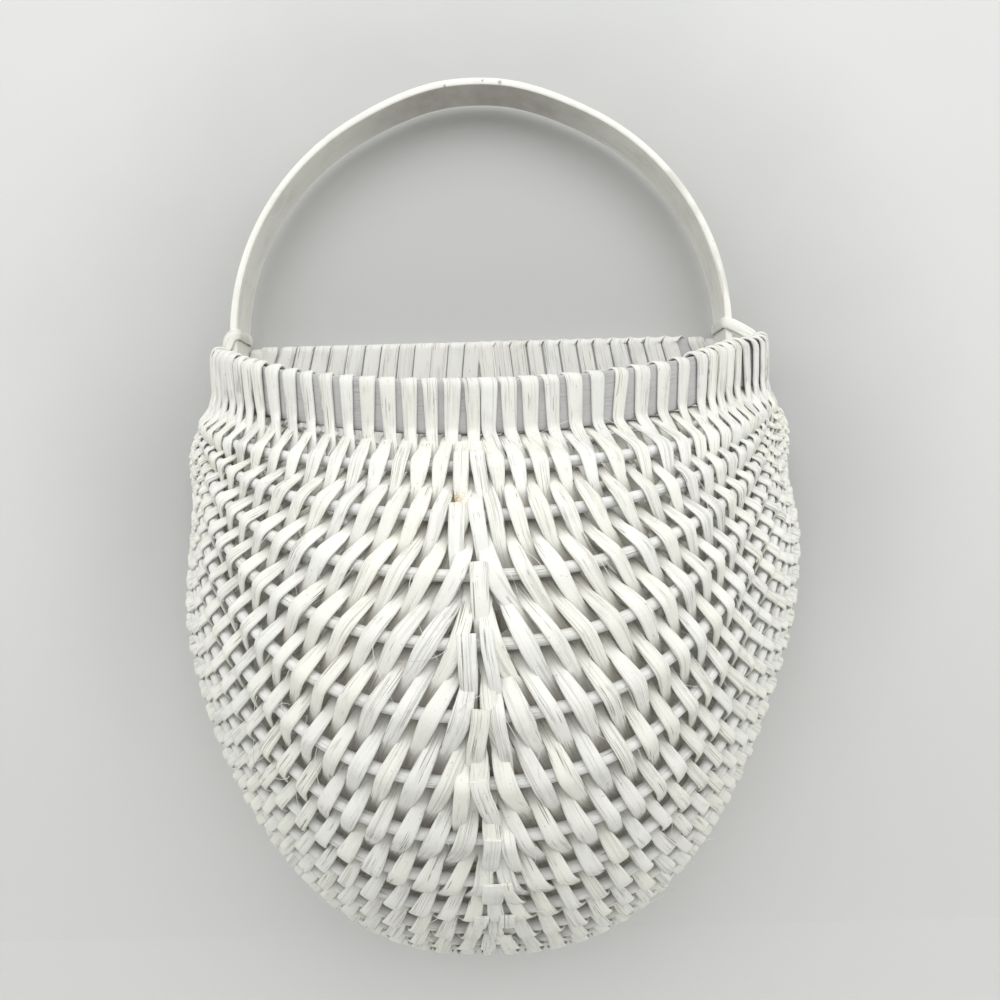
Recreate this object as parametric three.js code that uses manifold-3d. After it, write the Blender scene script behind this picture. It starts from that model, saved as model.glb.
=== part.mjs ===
// Wicker wall basket: a bent oval hoop makes the handle and the back frame, a bowed rim and a straight back
// rail make the mouth, round ribs run from ear to ear, and the woven wall fills the spaces between them.
// Millimetres, +X right, +Y to the wall, +Z up. The origin is the hook under the top of the handle arch.
import * as THREE from "three";
import { mergeVertices } from "three/addons/utils/BufferGeometryUtils.js";
import Module from "manifold-3d";

const wasm = await Module();
wasm.setup();

// Clearance between two pieces that rest on each other
const GAP = 0.3;

// Flat reed, which makes the wrapping, the lashings and the woven wall
const REED_THICK = 1.2;
const REED_WIDTH = 6.4;
const WALL_THICK = 3;

// Handle hoop: a flat bent band standing on edge to the wall
const HOOP_WIDTH = 261;
const HOOP_THICK = 4;
const HOOP_DEPTH = 22;
const HANDLE_RISE = 132;
const BODY_DROP = 300;
const EDGE_CHAMFER = 0.8;

// Rim: the bowed front band and the straight back rail
const RIM_REACH = 108;
const RIM_THICK = 4.5;
const RIM_HEIGHT = 22;
const RIM_DIP = 36;
const RIM_LEAN_DEG = 8;
const RIM_BOW_POWER = 1.3;
const RAIL_THICK = 4;

// Ribs: round rods from ear to ear, shaved thin where they run together
const FRONT_RIBS = 13;
const BACK_RIBS = 7;
const RIB_DIAMETER = 4.5;
const RIB_POWER = 1.9;
const FIRST_RIB_SQUARE = 0.5;
const EAR_OUT = 7;
const EAR_FROM_WALL = 15.4;
const EAR_DROP = 33.5;
const EAR_SHARE = 0.12;
const BACK_EAR_COS = 0.3;
const BACK_POWER_LOW = 1.3;
const BACK_POWER_HIGH = 2;
const TAPER_SHARE = 0.3;

// Belly: how far the ribs swell, in profile and to the sides
const FIRST_RIB_DROP = 22.5;
const BELLY_PULL = 235;
const BELLY_ANGLE_DEG = 42.2;
const BASE_PULL = 81;
const BASE_ANGLE_DEG = 40;
const BASE_FROM_WALL = 25.5;
const SIDE_SWELL = 12.8;
const SIDE_SWELL_GROW = 42.5;
const SIDE_SWELL_EASE = 31.5;
const SIDE_SQUARE = 0.29;

// Lashings and ear bindings
const LASHING_LIFT = 3;
const LASHING_REACH = 12;
const BINDING_HEIGHT = 38;

// Facets
const FRONT_STEPS = 20;
const ROUND_STEPS = 20;
const SLOTS = 12; // open places shown along each woven band
const SLOT_WIDTH = 4;
const SLOT_SHARE = 0.5; // of the distance between two ribs
const LENGTH_STEPS = 180;

// Sizes that follow from the ones above
const halfPi = Math.PI / 2;
const wrap = GAP + REED_THICK;
const ribRadius = RIB_DIAMETER / 2;
const hoopOut = HOOP_WIDTH / 2;
const hoopMid = hoopOut - HOOP_THICK / 2;
const hoopIn = hoopOut - HOOP_THICK;
const hoopBackY = -(2 * GAP + REED_THICK + 0.2);
const hoopFrontY = hoopBackY - HOOP_DEPTH;
const archZ = HANDLE_RISE - hoopOut;
const bowlZ = hoopOut - BODY_DROP;
const hookZ = HANDLE_RISE - HOOP_THICK;
const rimHalf = hoopOut + GAP + wrap + RIM_THICK / 2;
const railY = -(wrap + RAIL_THICK / 2);
const backY = -(REED_THICK + ribRadius + 0.15);
const earHalf = hoopOut + EAR_OUT;
const frontEnd = Math.acos(EAR_SHARE ** (1 / RIB_POWER));
const bindingOut = Math.min(earHalf, rimHalf) - WALL_THICK / 2 - 3 * GAP;
const bindingIn = hoopIn - wrap;
const bindingTopZ = -RIM_HEIGHT - wrap - GAP - 2;
const bindingBottomZ = bindingTopZ - BINDING_HEIGHT;
const backEarZ = -EAR_DROP + 2;
const backEnd = Math.acos(BACK_EAR_COS);
const backHalf = (bindingIn - 3 * GAP) / Math.sin(backEnd);
const railBottomZ = -RIM_HEIGHT - wrap - GAP;

const vec = (x, y, z) => new THREE.Vector3(x, y, z);
const mix = (a, b, t) => a.clone().lerp(b, t);
const spread = (from, to, steps) =>
  Array.from({ length: steps + 1 }, (_, i) => from + ((to - from) * i) / steps);

// The belly's profile in the middle plane, from under the rim to the bottom of the hoop
const deg = Math.PI / 180;
const bellyTop = new THREE.Vector2(-RIM_REACH - 2, -RIM_DIP - RIM_HEIGHT + 2);
const bellyBase = new THREE.Vector2(-BASE_FROM_WALL, -BODY_DROP);
const belly = new THREE.CubicBezierCurve(
  bellyTop,
  bellyTop.clone().add(
    new THREE.Vector2(-Math.cos(BELLY_ANGLE_DEG * deg), -Math.sin(BELLY_ANGLE_DEG * deg))
      .multiplyScalar(BELLY_PULL)),
  bellyBase.clone().add(
    new THREE.Vector2(Math.cos(BASE_ANGLE_DEG * deg), -Math.sin(BASE_ANGLE_DEG * deg))
      .multiplyScalar(BASE_PULL)),
  bellyBase,
);
const bellyLength = belly.getLength();
const ribPitch = (bellyLength - FIRST_RIB_DROP) / (FRONT_RIBS + 1);

// A point on front rib k, phi running from the left ear to the right ear
function frontRib(k, phi) {
  const u = (k - 1) / FRONT_RIBS;
  const swell = SIDE_SWELL + SIDE_SWELL_GROW * u ** 2 - SIDE_SWELL_EASE * u ** 6;
  const side = Math.sin(phi);
  const x = Math.sign(side) * earHalf * Math.abs(side) ** (1 - SIDE_SQUARE * u)
    + swell * Math.sin(2 * phi);
  const power = RIB_POWER - FIRST_RIB_SQUARE * (1 - u) ** 3;
  const share = Math.max(Math.cos(phi), 0) ** power;
  const low = belly.getPointAt((FIRST_RIB_DROP + (k - 1) * ribPitch) / bellyLength);
  return vec(x, -EAR_FROM_WALL + (low.x + EAR_FROM_WALL) * share,
    -EAR_DROP + (low.y + EAR_DROP) * share);
}

// A point on back rib j, which hangs in the flat back
function backRib(j, phi) {
  const lowest = -BODY_DROP + HOOP_THICK;
  const lowZ = lowest + ((railBottomZ - lowest) * j) / (BACK_RIBS + 1);
  const power = BACK_POWER_LOW
    + ((BACK_POWER_HIGH - BACK_POWER_LOW) * (j - 1)) / (BACK_RIBS - 1);
  const share = Math.max(Math.cos(phi), 0) ** power;
  return vec(backHalf * Math.sin(phi), backY, backEarZ + (lowZ - backEarZ) * share);
}

// The rim's path: the bow, then a straight end along each leg of the hoop
function rimAt(phi) {
  const share = Math.max(Math.cos(phi), 0) ** RIM_BOW_POWER;
  return {
    p: vec(rimHalf * Math.sin(phi), hoopFrontY - (RIM_REACH + hoopFrontY) * share,
      -RIM_DIP * share),
    share,
  };
}

function rimStations() {
  const bow = spread(-halfPi, halfPi, FRONT_STEPS + 6).map(rimAt);
  const end = (side) => ({ p: vec(side * rimHalf, hoopBackY - 1, 0), share: 0 });
  const path = [end(-1), ...bow, end(1)];
  return path.map((station, i) => {
    const before = path[Math.max(i - 1, 0)].p, after = path[Math.min(i + 1, path.length - 1)].p;
    const way = after.clone().sub(before).setZ(0).normalize();
    const out = vec(way.y, -way.x, 0);
    const lean = RIM_LEAN_DEG * deg * station.share;
    const up = out.clone().multiplyScalar(Math.sin(lean)).add(vec(0, 0, Math.cos(lean)));
    return { p: station.p, out, up };
  });
}

// Rings of points that are joined into a closed body; caps close it unless it runs round
function loft(rings, cap, round = false) {
  const size = rings[0].length, position = [], index = [];
  for (const ring of rings) for (const p of ring) position.push(p.x, p.y, p.z);
  const last = round ? rings.length : rings.length - 1;
  for (let i = 0; i < last; i++) {
    const a = i * size, b = ((i + 1) % rings.length) * size;
    for (let j = 0; j < size; j++) {
      const n = (j + 1) % size;
      index.push(a + j, a + n, b + n, a + j, b + n, b + j);
    }
  }
  if (!round) {
    const end = (rings.length - 1) * size;
    for (const [x, y, z] of cap) index.push(z, y, x, end + x, end + y, end + z);
  }
  return outward(position, index);
}

// Turns every face round when the body came out inside out
function outward(position, index) {
  const at = (i) => vec(position[3 * i], position[3 * i + 1], position[3 * i + 2]);
  let volume = 0;
  for (let i = 0; i < index.length; i += 3)
    volume += at(index[i]).dot(at(index[i + 1]).cross(at(index[i + 2])));
  if (volume < 0)
    for (let i = 0; i < index.length; i += 3)
      [index[i + 1], index[i + 2]] = [index[i + 2], index[i + 1]];
  return new THREE.BufferGeometry()
    .setAttribute("position", new THREE.Float32BufferAttribute(position, 3))
    .setIndex(index);
}

const fanCap = (size) => Array.from({ length: size - 2 }, (_, i) => [0, i + 1, i + 2]);
const stripCap = (n) =>
  Array.from({ length: n - 1 }, (_, i) =>
    [[i, i + 1, 2 * n - 2 - i], [i, 2 * n - 2 - i, 2 * n - 1 - i]]).flat();

// A wall of two faces, each a row of points per station
const wall = (stations) =>
  loft(stations.map(({ outer, inner }) => [...outer, ...inner.slice().reverse()]),
    stripCap(stations[0].outer.length));

// A tube of two skins round something else, open at both ends
function sleeve(outer, inner) {
  const size = outer[0].length, count = outer.length, position = [], index = [];
  for (const ring of [...outer, ...inner]) for (const p of ring) position.push(p.x, p.y, p.z);
  const shift = size * count;
  for (let j = 0; j < size; j++) {
    const n = (j + 1) % size;
    for (let i = 0; i < count - 1; i++) {
      const a = i * size, b = a + size;
      index.push(a + j, a + n, b + n, a + j, b + n, b + j);
      index.push(shift + a + j, shift + b + n, shift + a + n);
      index.push(shift + a + j, shift + b + j, shift + b + n);
    }
    const e = (count - 1) * size;
    index.push(j, shift + n, n, j, shift + j, shift + n);
    index.push(e + j, e + n, e + shift + n, e + j, e + shift + n, e + shift + j);
  }
  return outward(position, index);
}

// A chamfered flat section: half sizes a and b, on the directions u and v
function flatSection(centre, u, v, a, b) {
  const c = EDGE_CHAMFER;
  const corner = (x, y) => centre.clone().addScaledVector(u, x).addScaledVector(v, y);
  return [corner(a, b - c), corner(a - c, b), corner(c - a, b), corner(-a, b - c),
    corner(-a, c - b), corner(c - a, -b), corner(a - c, -b), corner(a, c - b)];
}

function squareSection(centre, u, v, a, b) {
  const corner = (x, y) => centre.clone().addScaledVector(u, x).addScaledVector(v, y);
  return [corner(a, b), corner(-a, b), corner(-a, -b), corner(a, -b)];
}

// The hoop's outline: arch, straight legs and round bottom, with the direction out of it
function hoopAt(angle, centreZ) {
  const out = vec(Math.sin(angle), 0, Math.cos(angle));
  return { p: vec(hoopMid * out.x, 0, centreZ + hoopMid * out.z), out };
}

// The same outline by length from the bottom, on the side of the given sign
function hoopBySide(side, length) {
  const bend = (hoopMid * Math.PI) / 2;
  if (length <= bend) {
    return hoopAt(Math.PI - (side * length) / hoopMid, bowlZ);
  }
  return { p: vec(side * hoopMid, 0, bowlZ + length - bend), out: vec(side, 0, 0) };
}

function hoopGeometry() {
  const midY = (hoopFrontY + hoopBackY) / 2;
  const arch = spread(-halfPi, halfPi, ROUND_STEPS).map((t) => hoopAt(t, archZ));
  const bowl = frontStations.map(hoopOpposite).reverse();
  return loft([...arch, ...bowl].map(({ p, out }) =>
    flatSection(p.setY(midY), out, vec(0, 1, 0), HOOP_THICK / 2, HOOP_DEPTH / 2)), [], true);
}

function rimGeometry() {
  return loft(rimStations().map(({ p, out, up }) =>
    flatSection(p.clone().addScaledVector(up, -RIM_HEIGHT / 2), out, up,
      RIM_THICK / 2, RIM_HEIGHT / 2)), fanCap(8));
}

function rimWrapGeometry() {
  const stations = rimStations();
  const last = stations.length - 1;
  const ring = (grow) => stations.map(({ p, out, up }, i) => {
    const centre = p.clone().addScaledVector(up, -RIM_HEIGHT / 2);
    if (i === 0 || i === last) centre.y -= 1;
    return squareSection(centre, out, up, RIM_THICK / 2 + grow, RIM_HEIGHT / 2 + grow);
  });
  return sleeve(ring(wrap), ring(GAP));
}

function railWrapGeometry() {
  const half = bindingIn - 2;
  const section = (x, grow) => squareSection(vec(x, railY, -RIM_HEIGHT / 2),
    vec(0, 1, 0), vec(0, 0, 1), RAIL_THICK / 2 + grow, RIM_HEIGHT / 2 + grow);
  const ends = [-half, half];
  return sleeve(ends.map((x) => section(x, wrap)), ends.map((x) => section(x, GAP)));
}

// Direction along a curve, and the distance across from it to a neighbouring curve
function along(curve, phi) {
  return curve(phi + 1e-3).sub(curve(phi - 1e-3)).normalize();
}

function across(curve, other, phi) {
  const chord = other(phi).sub(curve(phi));
  const way = along(curve, phi);
  return chord.addScaledVector(way, -chord.dot(way)).length();
}

// A rib's radius, thinner where the neighbouring ribs come close
function radiusAt(curve, others, phi) {
  const nearest = Math.min(...others.map((other) => across(curve, other, phi)));
  return Math.min(ribRadius, nearest * TAPER_SHARE);
}

function ribGeometry(curve, others, stations) {
  const rings = stations.map((phi) => {
    const way = along(curve, phi);
    const reach = others[0](phi).sub(curve(phi));
    const u = reach.addScaledVector(way, -reach.dot(way)).normalize();
    const v = way.clone().cross(u);
    const r = radiusAt(curve, others, phi) * 1.05;
    return Array.from({ length: 6 }, (_, i) => {
      const t = ((i + 0.5) * Math.PI) / 3;
      return curve(phi).addScaledVector(u, r * Math.cos(t)).addScaledVector(v, r * Math.sin(t));
    });
  });
  return loft(rings, fanCap(6));
}

// How far along the chord to the neighbour a wall starts, clear of the rib it leaves
function clearOf(curve, other, radius, phi) {
  const chord = other(phi).sub(curve(phi)).length();
  return ((radius + GAP) / across(curve, other, phi)) * chord;
}

function bandGeometry(a, b, radiusA, radiusB, stations) {
  const strip = (phi) => {
    const from = a(phi), to = b(phi), chord = to.distanceTo(from);
    const near = clearOf(a, b, radiusA(phi), phi) / chord;
    const far = 1 - clearOf(b, a, radiusB(phi), phi) / chord;
    const way = along((t) => mix(a(t), b(t), 0.5), phi);
    const face = to.clone().sub(from).cross(way).normalize().multiplyScalar(WALL_THICK / 2);
    return { edges: [mix(from, to, near), mix(from, to, far)], way, face };
  };
  const whole = wall(stations.map((phi) => {
    const { edges, face } = strip(phi);
    return {
      outer: edges.map((p) => p.clone().add(face)),
      inner: edges.map((p) => p.clone().sub(face)),
    };
  }));
  return slotted(whole, strip, stations[0], stations[stations.length - 1]);
}

// Cuts the open places between the reeds through a band, as plain slots evenly along it
function slotted(geometry, strip, first, last) {
  const phiAt = (i) => first + ((last - first) * i) / LENGTH_STEPS;
  const middle = (i) => mix(...strip(phiAt(i)).edges, 0.5);
  const run = [0];
  for (let i = 1; i <= LENGTH_STEPS; i++) run.push(run[i - 1] + middle(i).distanceTo(middle(i - 1)));
  const cuts = [];
  for (let slot = 0; slot < SLOTS; slot++) {
    const goal = (run[LENGTH_STEPS] * (slot + 0.5)) / SLOTS;
    const { edges, way, face } = strip(phiAt(run.findIndex((length) => length >= goal)));
    if (edges[0].distanceTo(edges[1]) < SLOT_WIDTH) continue;
    const side = way.clone().multiplyScalar(SLOT_WIDTH / 2), deep = face.clone().multiplyScalar(3);
    const ring = (share) => {
      const p = mix(edges[0], edges[1], share);
      return [p.clone().add(side).add(deep), p.clone().add(side).sub(deep),
        p.clone().sub(side).sub(deep), p.clone().sub(side).add(deep)];
    };
    cuts.push(solidOf(loft([ring(0.5 - SLOT_SHARE / 2), ring(0.5 + SLOT_SHARE / 2)], fanCap(4))));
  }
  return geometryOf(solidOf(geometry).subtract(wasm.Manifold.union(cuts)));
}

const front = (k) => (phi) => frontRib(k, phi);
const back = (j) => (phi) => backRib(j, phi);
const frontNeighbours = (k) =>
  [k < FRONT_RIBS ? front(k + 1) : front(k - 1), k > 1 ? front(k - 1) : front(2)];
const backNeighbours = (j) =>
  [j < BACK_RIBS ? back(j + 1) : back(j - 1), j > 1 ? back(j - 1) : back(2)];
const frontRadius = (k) => (phi) => radiusAt(front(k), frontNeighbours(k), phi);
const backRadius = (j) => (phi) => radiusAt(back(j), backNeighbours(j), phi);

// The line under the wrapped rim where the woven wall begins
function underRim(phi) {
  const { p, share } = rimAt(phi);
  const before = rimAt(phi - 1e-3).p, after = rimAt(phi + 1e-3).p;
  const way = after.sub(before).setZ(0).normalize();
  const lean = RIM_LEAN_DEG * deg * share;
  const up = vec(way.y, -way.x, 0).multiplyScalar(Math.sin(lean)).add(vec(0, 0, Math.cos(lean)));
  return p.addScaledVector(up, -RIM_HEIGHT - wrap - WALL_THICK / 2);
}

// Lengths along the last front rib and the first back rib, so that the wall between them lies straight
function lengths(curve) {
  const at = (i) => curve((halfPi * i) / LENGTH_STEPS);
  const list = [0];
  for (let i = 1; i <= LENGTH_STEPS; i++) list.push(list[i - 1] + at(i).distanceTo(at(i - 1)));
  return list;
}
const lastRibLengths = lengths(front(FRONT_RIBS));
const firstBackLengths = lengths(back(1));

function shareOfLength(phi) {
  const at = (Math.abs(phi) / halfPi) * LENGTH_STEPS;
  const low = Math.min(Math.floor(at), LENGTH_STEPS - 1);
  const length = lastRibLengths[low] + (lastRibLengths[low + 1] - lastRibLengths[low]) * (at - low);
  return length / lastRibLengths[LENGTH_STEPS];
}

function phiOfBack(share) {
  const goal = share * firstBackLengths[LENGTH_STEPS];
  let i = 1;
  while (i < LENGTH_STEPS && firstBackLengths[i] < goal) i++;
  const part = (goal - firstBackLengths[i - 1]) / (firstBackLengths[i] - firstBackLengths[i - 1]);
  return (halfPi * (i - 1 + Math.min(part, 1))) / LENGTH_STEPS;
}

const hoopHalfLength = (hoopMid * Math.PI) / 2 + (-EAR_DROP - 6 - bowlZ);
function hoopOpposite(phi) {
  return hoopBySide(phi < 0 ? -1 : 1, shareOfLength(phi) * hoopHalfLength);
}

const frontStations = spread(-frontEnd, frontEnd, FRONT_STEPS);
const backOpposite = (phi) => Math.sign(phi) * Math.min(phiOfBack(shareOfLength(phi)), backEnd);
const backStations = frontStations.map(backOpposite)
  .filter((phi, i, all) => i === 0 || phi > all[i - 1] + 1e-6);

// The wall from the last front rib round the outside of the hoop to the first back rib
function turnGeometry() {
  const thick = REED_THICK + 0.2;
  return wall(frontStations.map((phi) => {
    const { p, out } = hoopOpposite(phi);
    const at = (n, y) => p.clone().addScaledVector(out, n).setY(y);
    const face = HOOP_THICK / 2 + GAP;
    const rib = frontRib(FRONT_RIBS, phi);
    const meetY = Math.min(Math.max(rib.y + HOOP_DEPTH / 4, hoopFrontY), hoopBackY - thick);
    const start = at(face + thick / 2, meetY);
    const way = along(front(FRONT_RIBS), phi);
    const chord = start.clone().sub(rib);
    const width = chord.clone().addScaledVector(way, -chord.dot(way)).length();
    const clear = (1.1 * frontRadius(FRONT_RIBS)(phi) + 2 * GAP) / width;
    const first = mix(rib, start, Math.min(clear, 0.8));
    let side = chord.clone().cross(way).normalize().multiplyScalar(thick / 2);
    if (side.dot(vec(out.x, 1, out.z)) < 0) side = side.negate();
    const backPhi = backOpposite(phi);
    const backPoint = backRib(1, backPhi);
    const inside = at(-HOOP_THICK / 2, hoopBackY + GAP + thick / 2);
    const backWay = along(back(1), backPhi);
    const backChord = inside.clone().sub(backPoint);
    const backWidth = backChord.clone().addScaledVector(backWay, -backChord.dot(backWay)).length();
    const backClear = (backRadius(1)(backPhi) + GAP) / backWidth;
    const last = mix(backPoint, inside, Math.min(backClear, 0.8));
    const toWall = vec(0, thick / 2, 0);
    return {
      outer: [first.clone().add(side), at(face + thick, meetY),
        at(face + thick, hoopBackY + GAP + thick), at(-HOOP_THICK / 2, hoopBackY + GAP + thick),
        last.clone().add(toWall)],
      inner: [first.clone().sub(side), at(face, meetY),
        at(face, hoopBackY + GAP), at(-HOOP_THICK / 2, hoopBackY + GAP),
        last.clone().sub(toWall)],
    };
  }));
}

// The start of the weave at an ear, where the rib ends run together
function earGeometry(side) {
  const half = vec(WALL_THICK / 2, 0, 0);
  const columns = [1, 4, 7, 10, FRONT_RIBS];
  const first = frontEnd + (4 * GAP) / (earHalf * 0.5);
  return wall(spread(first, halfPi, 5).map((phi) => {
    const bound = halfPi - phi < 1e-6;
    const points = [underRim(phi),
      ...columns.map((k, i) => frontRib(k, phi).add(vec(0, 0, bound ? -0.6 * i : 0)))];
    return {
      outer: points.map((p) => p.clone().add(half).multiply(vec(side, 1, 1))),
      inner: points.map((p) => p.clone().sub(half).multiply(vec(side, 1, 1))),
    };
  }));
}

// A flat ring round one leg of the hoop, from a low to a high level
function legRing(outX, inX, side, lowZ, highZ, lean = 0) {
  const shape = new THREE.Shape();
  const frontY = hoopFrontY - wrap, wallY = hoopBackY + wrap;
  shape.moveTo(inX, frontY).lineTo(outX, frontY).lineTo(outX, wallY).lineTo(inX, wallY).closePath();
  const hole = new THREE.Path();
  const slotIn = hoopIn - GAP - Math.max(0, lean), slotOut = hoopOut + GAP;
  hole.moveTo(slotIn, hoopFrontY - GAP).lineTo(slotIn, hoopBackY + GAP)
    .lineTo(slotOut, hoopBackY + GAP).lineTo(slotOut, hoopFrontY - GAP).closePath();
  shape.holes.push(hole);
  const geometry = new THREE.ExtrudeGeometry(shape, { depth: highZ - lowZ, bevelEnabled: false })
    .translate(0, 0, lowZ);
  return side < 0 ? mirrored(geometry) : geometry;
}

function mirrored(geometry) {
  const solid = geometry.index ? geometry.toNonIndexed() : geometry;
  const p = solid.attributes.position;
  for (let i = 0; i < p.count; i += 3) {
    const a = [p.getX(i), p.getY(i), p.getZ(i)], b = [p.getX(i + 1), p.getY(i + 1), p.getZ(i + 1)];
    p.setXYZ(i, -b[0], b[1], b[2]);
    p.setXYZ(i + 1, -a[0], a[1], a[2]);
    p.setX(i + 2, -p.getX(i + 2));
  }
  return solid;
}

function solidOf(geometry) {
  const bare = geometry.clone();
  bare.deleteAttribute("normal");
  bare.deleteAttribute("uv");
  const merged = mergeVertices(bare, 1e-4);
  return new wasm.Manifold(new wasm.Mesh({
    numProp: 3,
    vertProperties: new Float32Array(merged.attributes.position.array),
    triVerts: new Uint32Array(merged.index.array),
  }));
}

function geometryOf(solid) {
  const mesh = solid.getMesh();
  return new THREE.BufferGeometry()
    .setAttribute("position", new THREE.BufferAttribute(new Float32Array(mesh.vertProperties), 3))
    .setIndex(new THREE.BufferAttribute(new Uint32Array(mesh.triVerts), 1));
}

// The lashing above the rim: a loop round the handle's foot, and its tail over the rim's corner
function lashingGeometry(side) {
  const lean = (LASHING_LIFT + REED_WIDTH - archZ) * Math.tan(halfPi / ROUND_STEPS);
  const ring = legRing(hoopOut + wrap, hoopIn - wrap - lean, 1, LASHING_LIFT,
    LASHING_LIFT + REED_WIDTH, lean);
  const rimOut = rimHalf + RIM_THICK / 2 + wrap + GAP;
  const overZ = wrap + GAP;
  const tail = new THREE.Shape();
  tail.moveTo(hoopOut + wrap / 2 + GAP, LASHING_LIFT).lineTo(rimOut, overZ)
    .lineTo(rimOut, -LASHING_REACH).lineTo(rimOut + REED_THICK, -LASHING_REACH)
    .lineTo(rimOut + REED_THICK, overZ + REED_THICK)
    .lineTo(hoopOut + wrap / 2 + GAP, LASHING_LIFT + 2 * REED_THICK).closePath();
  const midY = (hoopFrontY + hoopBackY) / 2;
  const strip = new THREE.ExtrudeGeometry(tail, { depth: REED_WIDTH, bevelEnabled: false })
    .rotateX(halfPi).translate(0, midY + REED_WIDTH / 2, 0);
  const joined = geometryOf(solidOf(ring).add(solidOf(strip)));
  return side < 0 ? mirrored(joined) : joined;
}

const part = new THREE.Group();
function add(name, geometry, color, roughness = 0.75) {
  const material = new THREE.MeshStandardMaterial({ color, roughness, metalness: 0 });
  const mesh = new THREE.Mesh(geometry.translate(0, 0, -hookZ), material);
  mesh.name = name;
  part.add(mesh);
}

add("handle_hoop", hoopGeometry(), 0xe9e8e3, 0.6);
add("rim_bow", rimGeometry(), 0xdedcd6, 0.7);
add("back_rail",
  new THREE.BoxGeometry(2 * (hoopIn - GAP), RAIL_THICK, RIM_HEIGHT)
    .translate(0, railY, -RIM_HEIGHT / 2), 0xdedcd6, 0.7);
add("rim_wrap", rimWrapGeometry(), 0xf0efea);
add("rail_wrap", railWrapGeometry(), 0xf0efea);

for (let k = 1; k <= FRONT_RIBS; k++) {
  const name = String(k).padStart(2, "0");
  add(`front_rib_${name}`, ribGeometry(front(k), frontNeighbours(k), frontStations),
    0xe4e3de);
  const [from, fromRadius] = k === 1 ? [underRim, () => 0] : [front(k - 1), frontRadius(k - 1)];
  add(`weave_front_${name}`,
    bandGeometry(from, front(k), fromRadius, frontRadius(k), frontStations), 0xf2f1ec);
}
add("weave_turn", turnGeometry(), 0xecebe6);

const railLine = (phi) => vec(backRib(1, phi).x, backY, railBottomZ);
for (let j = 1; j <= BACK_RIBS; j++) {
  const top = j === BACK_RIBS;
  add(`back_rib_${j}`, ribGeometry(back(j), backNeighbours(j), backStations), 0xe4e3de);
  add(`weave_back_${j}`,
    bandGeometry(back(j), top ? railLine : back(j + 1), backRadius(j),
      top ? () => 0 : backRadius(j + 1), backStations), 0xecebe6);
}

for (const [name, side] of [["left", -1], ["right", 1]]) {
  add(`ear_binding_${name}`,
    legRing(bindingOut, bindingIn, side, bindingBottomZ, bindingTopZ), 0xecebe6);
  add(`ear_weave_${name}`, earGeometry(side), 0xf2f1ec);
  add(`lashing_${name}`, lashingGeometry(side), 0xf2f1ec);
}

export default part;
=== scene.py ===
"""White painted rib basket for the wall, woven strand by strand from flat reed over round ribs.

Lengths in the weaving code are millimetres in the basket's own frame, with zero at the top of the rim's
ends; `placed` brings them to metres in the model's frame, whose origin is the hook under the handle."""

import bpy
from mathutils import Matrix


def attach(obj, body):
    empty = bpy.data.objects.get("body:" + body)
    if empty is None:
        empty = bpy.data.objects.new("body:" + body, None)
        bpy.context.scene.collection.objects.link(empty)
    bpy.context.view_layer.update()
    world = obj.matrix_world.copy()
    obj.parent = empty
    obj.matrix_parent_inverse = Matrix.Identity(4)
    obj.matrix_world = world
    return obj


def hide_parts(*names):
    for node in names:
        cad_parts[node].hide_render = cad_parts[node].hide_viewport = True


bl_info = {
    "name": "Wicker wall basket",
    "version": (1, 0, 0),
    "blender": (4, 5, 0),
    "location": "View3D > Sidebar > Basket",
    "description": "Weaves a white painted wall basket round its bent hoop, rim and ribs",
    "category": "Object",
}

import math

import bpy
import numpy as np
from bpy.props import FloatProperty, FloatVectorProperty, IntProperty, PointerProperty
from bpy.types import Operator, Panel, PropertyGroup
from mathutils import Matrix, Vector

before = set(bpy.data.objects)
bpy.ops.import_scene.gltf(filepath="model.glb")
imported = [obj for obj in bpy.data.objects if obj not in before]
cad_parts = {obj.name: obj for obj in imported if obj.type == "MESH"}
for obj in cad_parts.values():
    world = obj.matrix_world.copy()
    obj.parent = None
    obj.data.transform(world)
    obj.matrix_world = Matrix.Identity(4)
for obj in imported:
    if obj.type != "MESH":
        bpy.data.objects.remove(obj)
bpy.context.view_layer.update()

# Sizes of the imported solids, in millimetres
HOOK_DROP = 128.0
FRONT_RIBS, BACK_RIBS = 13, 7
HOOP_COURSE, LAST_COURSE = FRONT_RIBS + 1, FRONT_RIBS + 1 + BACK_RIBS
GAP, REED_THICK = 0.3, 1.2
HOOP_OUT, HOOP_THICK, HOOP_DEPTH = 130.5, 4.0, 22.0
HANDLE_RISE, BODY_DROP = 132.0, 300.0
HOOP_MID = HOOP_OUT - HOOP_THICK / 2
HOOP_IN = HOOP_OUT - HOOP_THICK
HOOP_BACK = -(2 * GAP + REED_THICK + 0.2)
HOOP_FRONT = HOOP_BACK - HOOP_DEPTH
ARCH_Z, BOWL_Z = HANDLE_RISE - HOOP_OUT, HOOP_OUT - BODY_DROP
RIM_REACH, RIM_THICK, RIM_HEIGHT, RIM_DIP = 108.0, 4.5, 22.0, 36.0
RIM_LEAN, RIM_BOW = math.radians(8), 1.3
RIM_HALF = HOOP_OUT + 2 * GAP + REED_THICK + RIM_THICK / 2
RAIL_THICK = 4.0
RAIL_Y = -(GAP + REED_THICK + RAIL_THICK / 2)
EAR_HALF, EAR_Y, EAR_Z = HOOP_OUT + 7.0, -15.4, -33.5
RIB_POWER, FIRST_RIB_SQUARE = 1.9, 0.5
BACK_POWER_LOW, BACK_POWER_GROW = 1.3, 0.7
FIRST_RIB_DROP, BELLY_PULL, BELLY_ANGLE = 22.5, 235.0, math.radians(42.2)
BASE_FROM_WALL, BASE_PULL, BASE_ANGLE = 25.5, 81.0, math.radians(40)
SIDE_SWELL, SIDE_SWELL_GROW, SIDE_SWELL_EASE, SIDE_SQUARE = 12.8, 42.5, 31.5, 0.29
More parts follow.
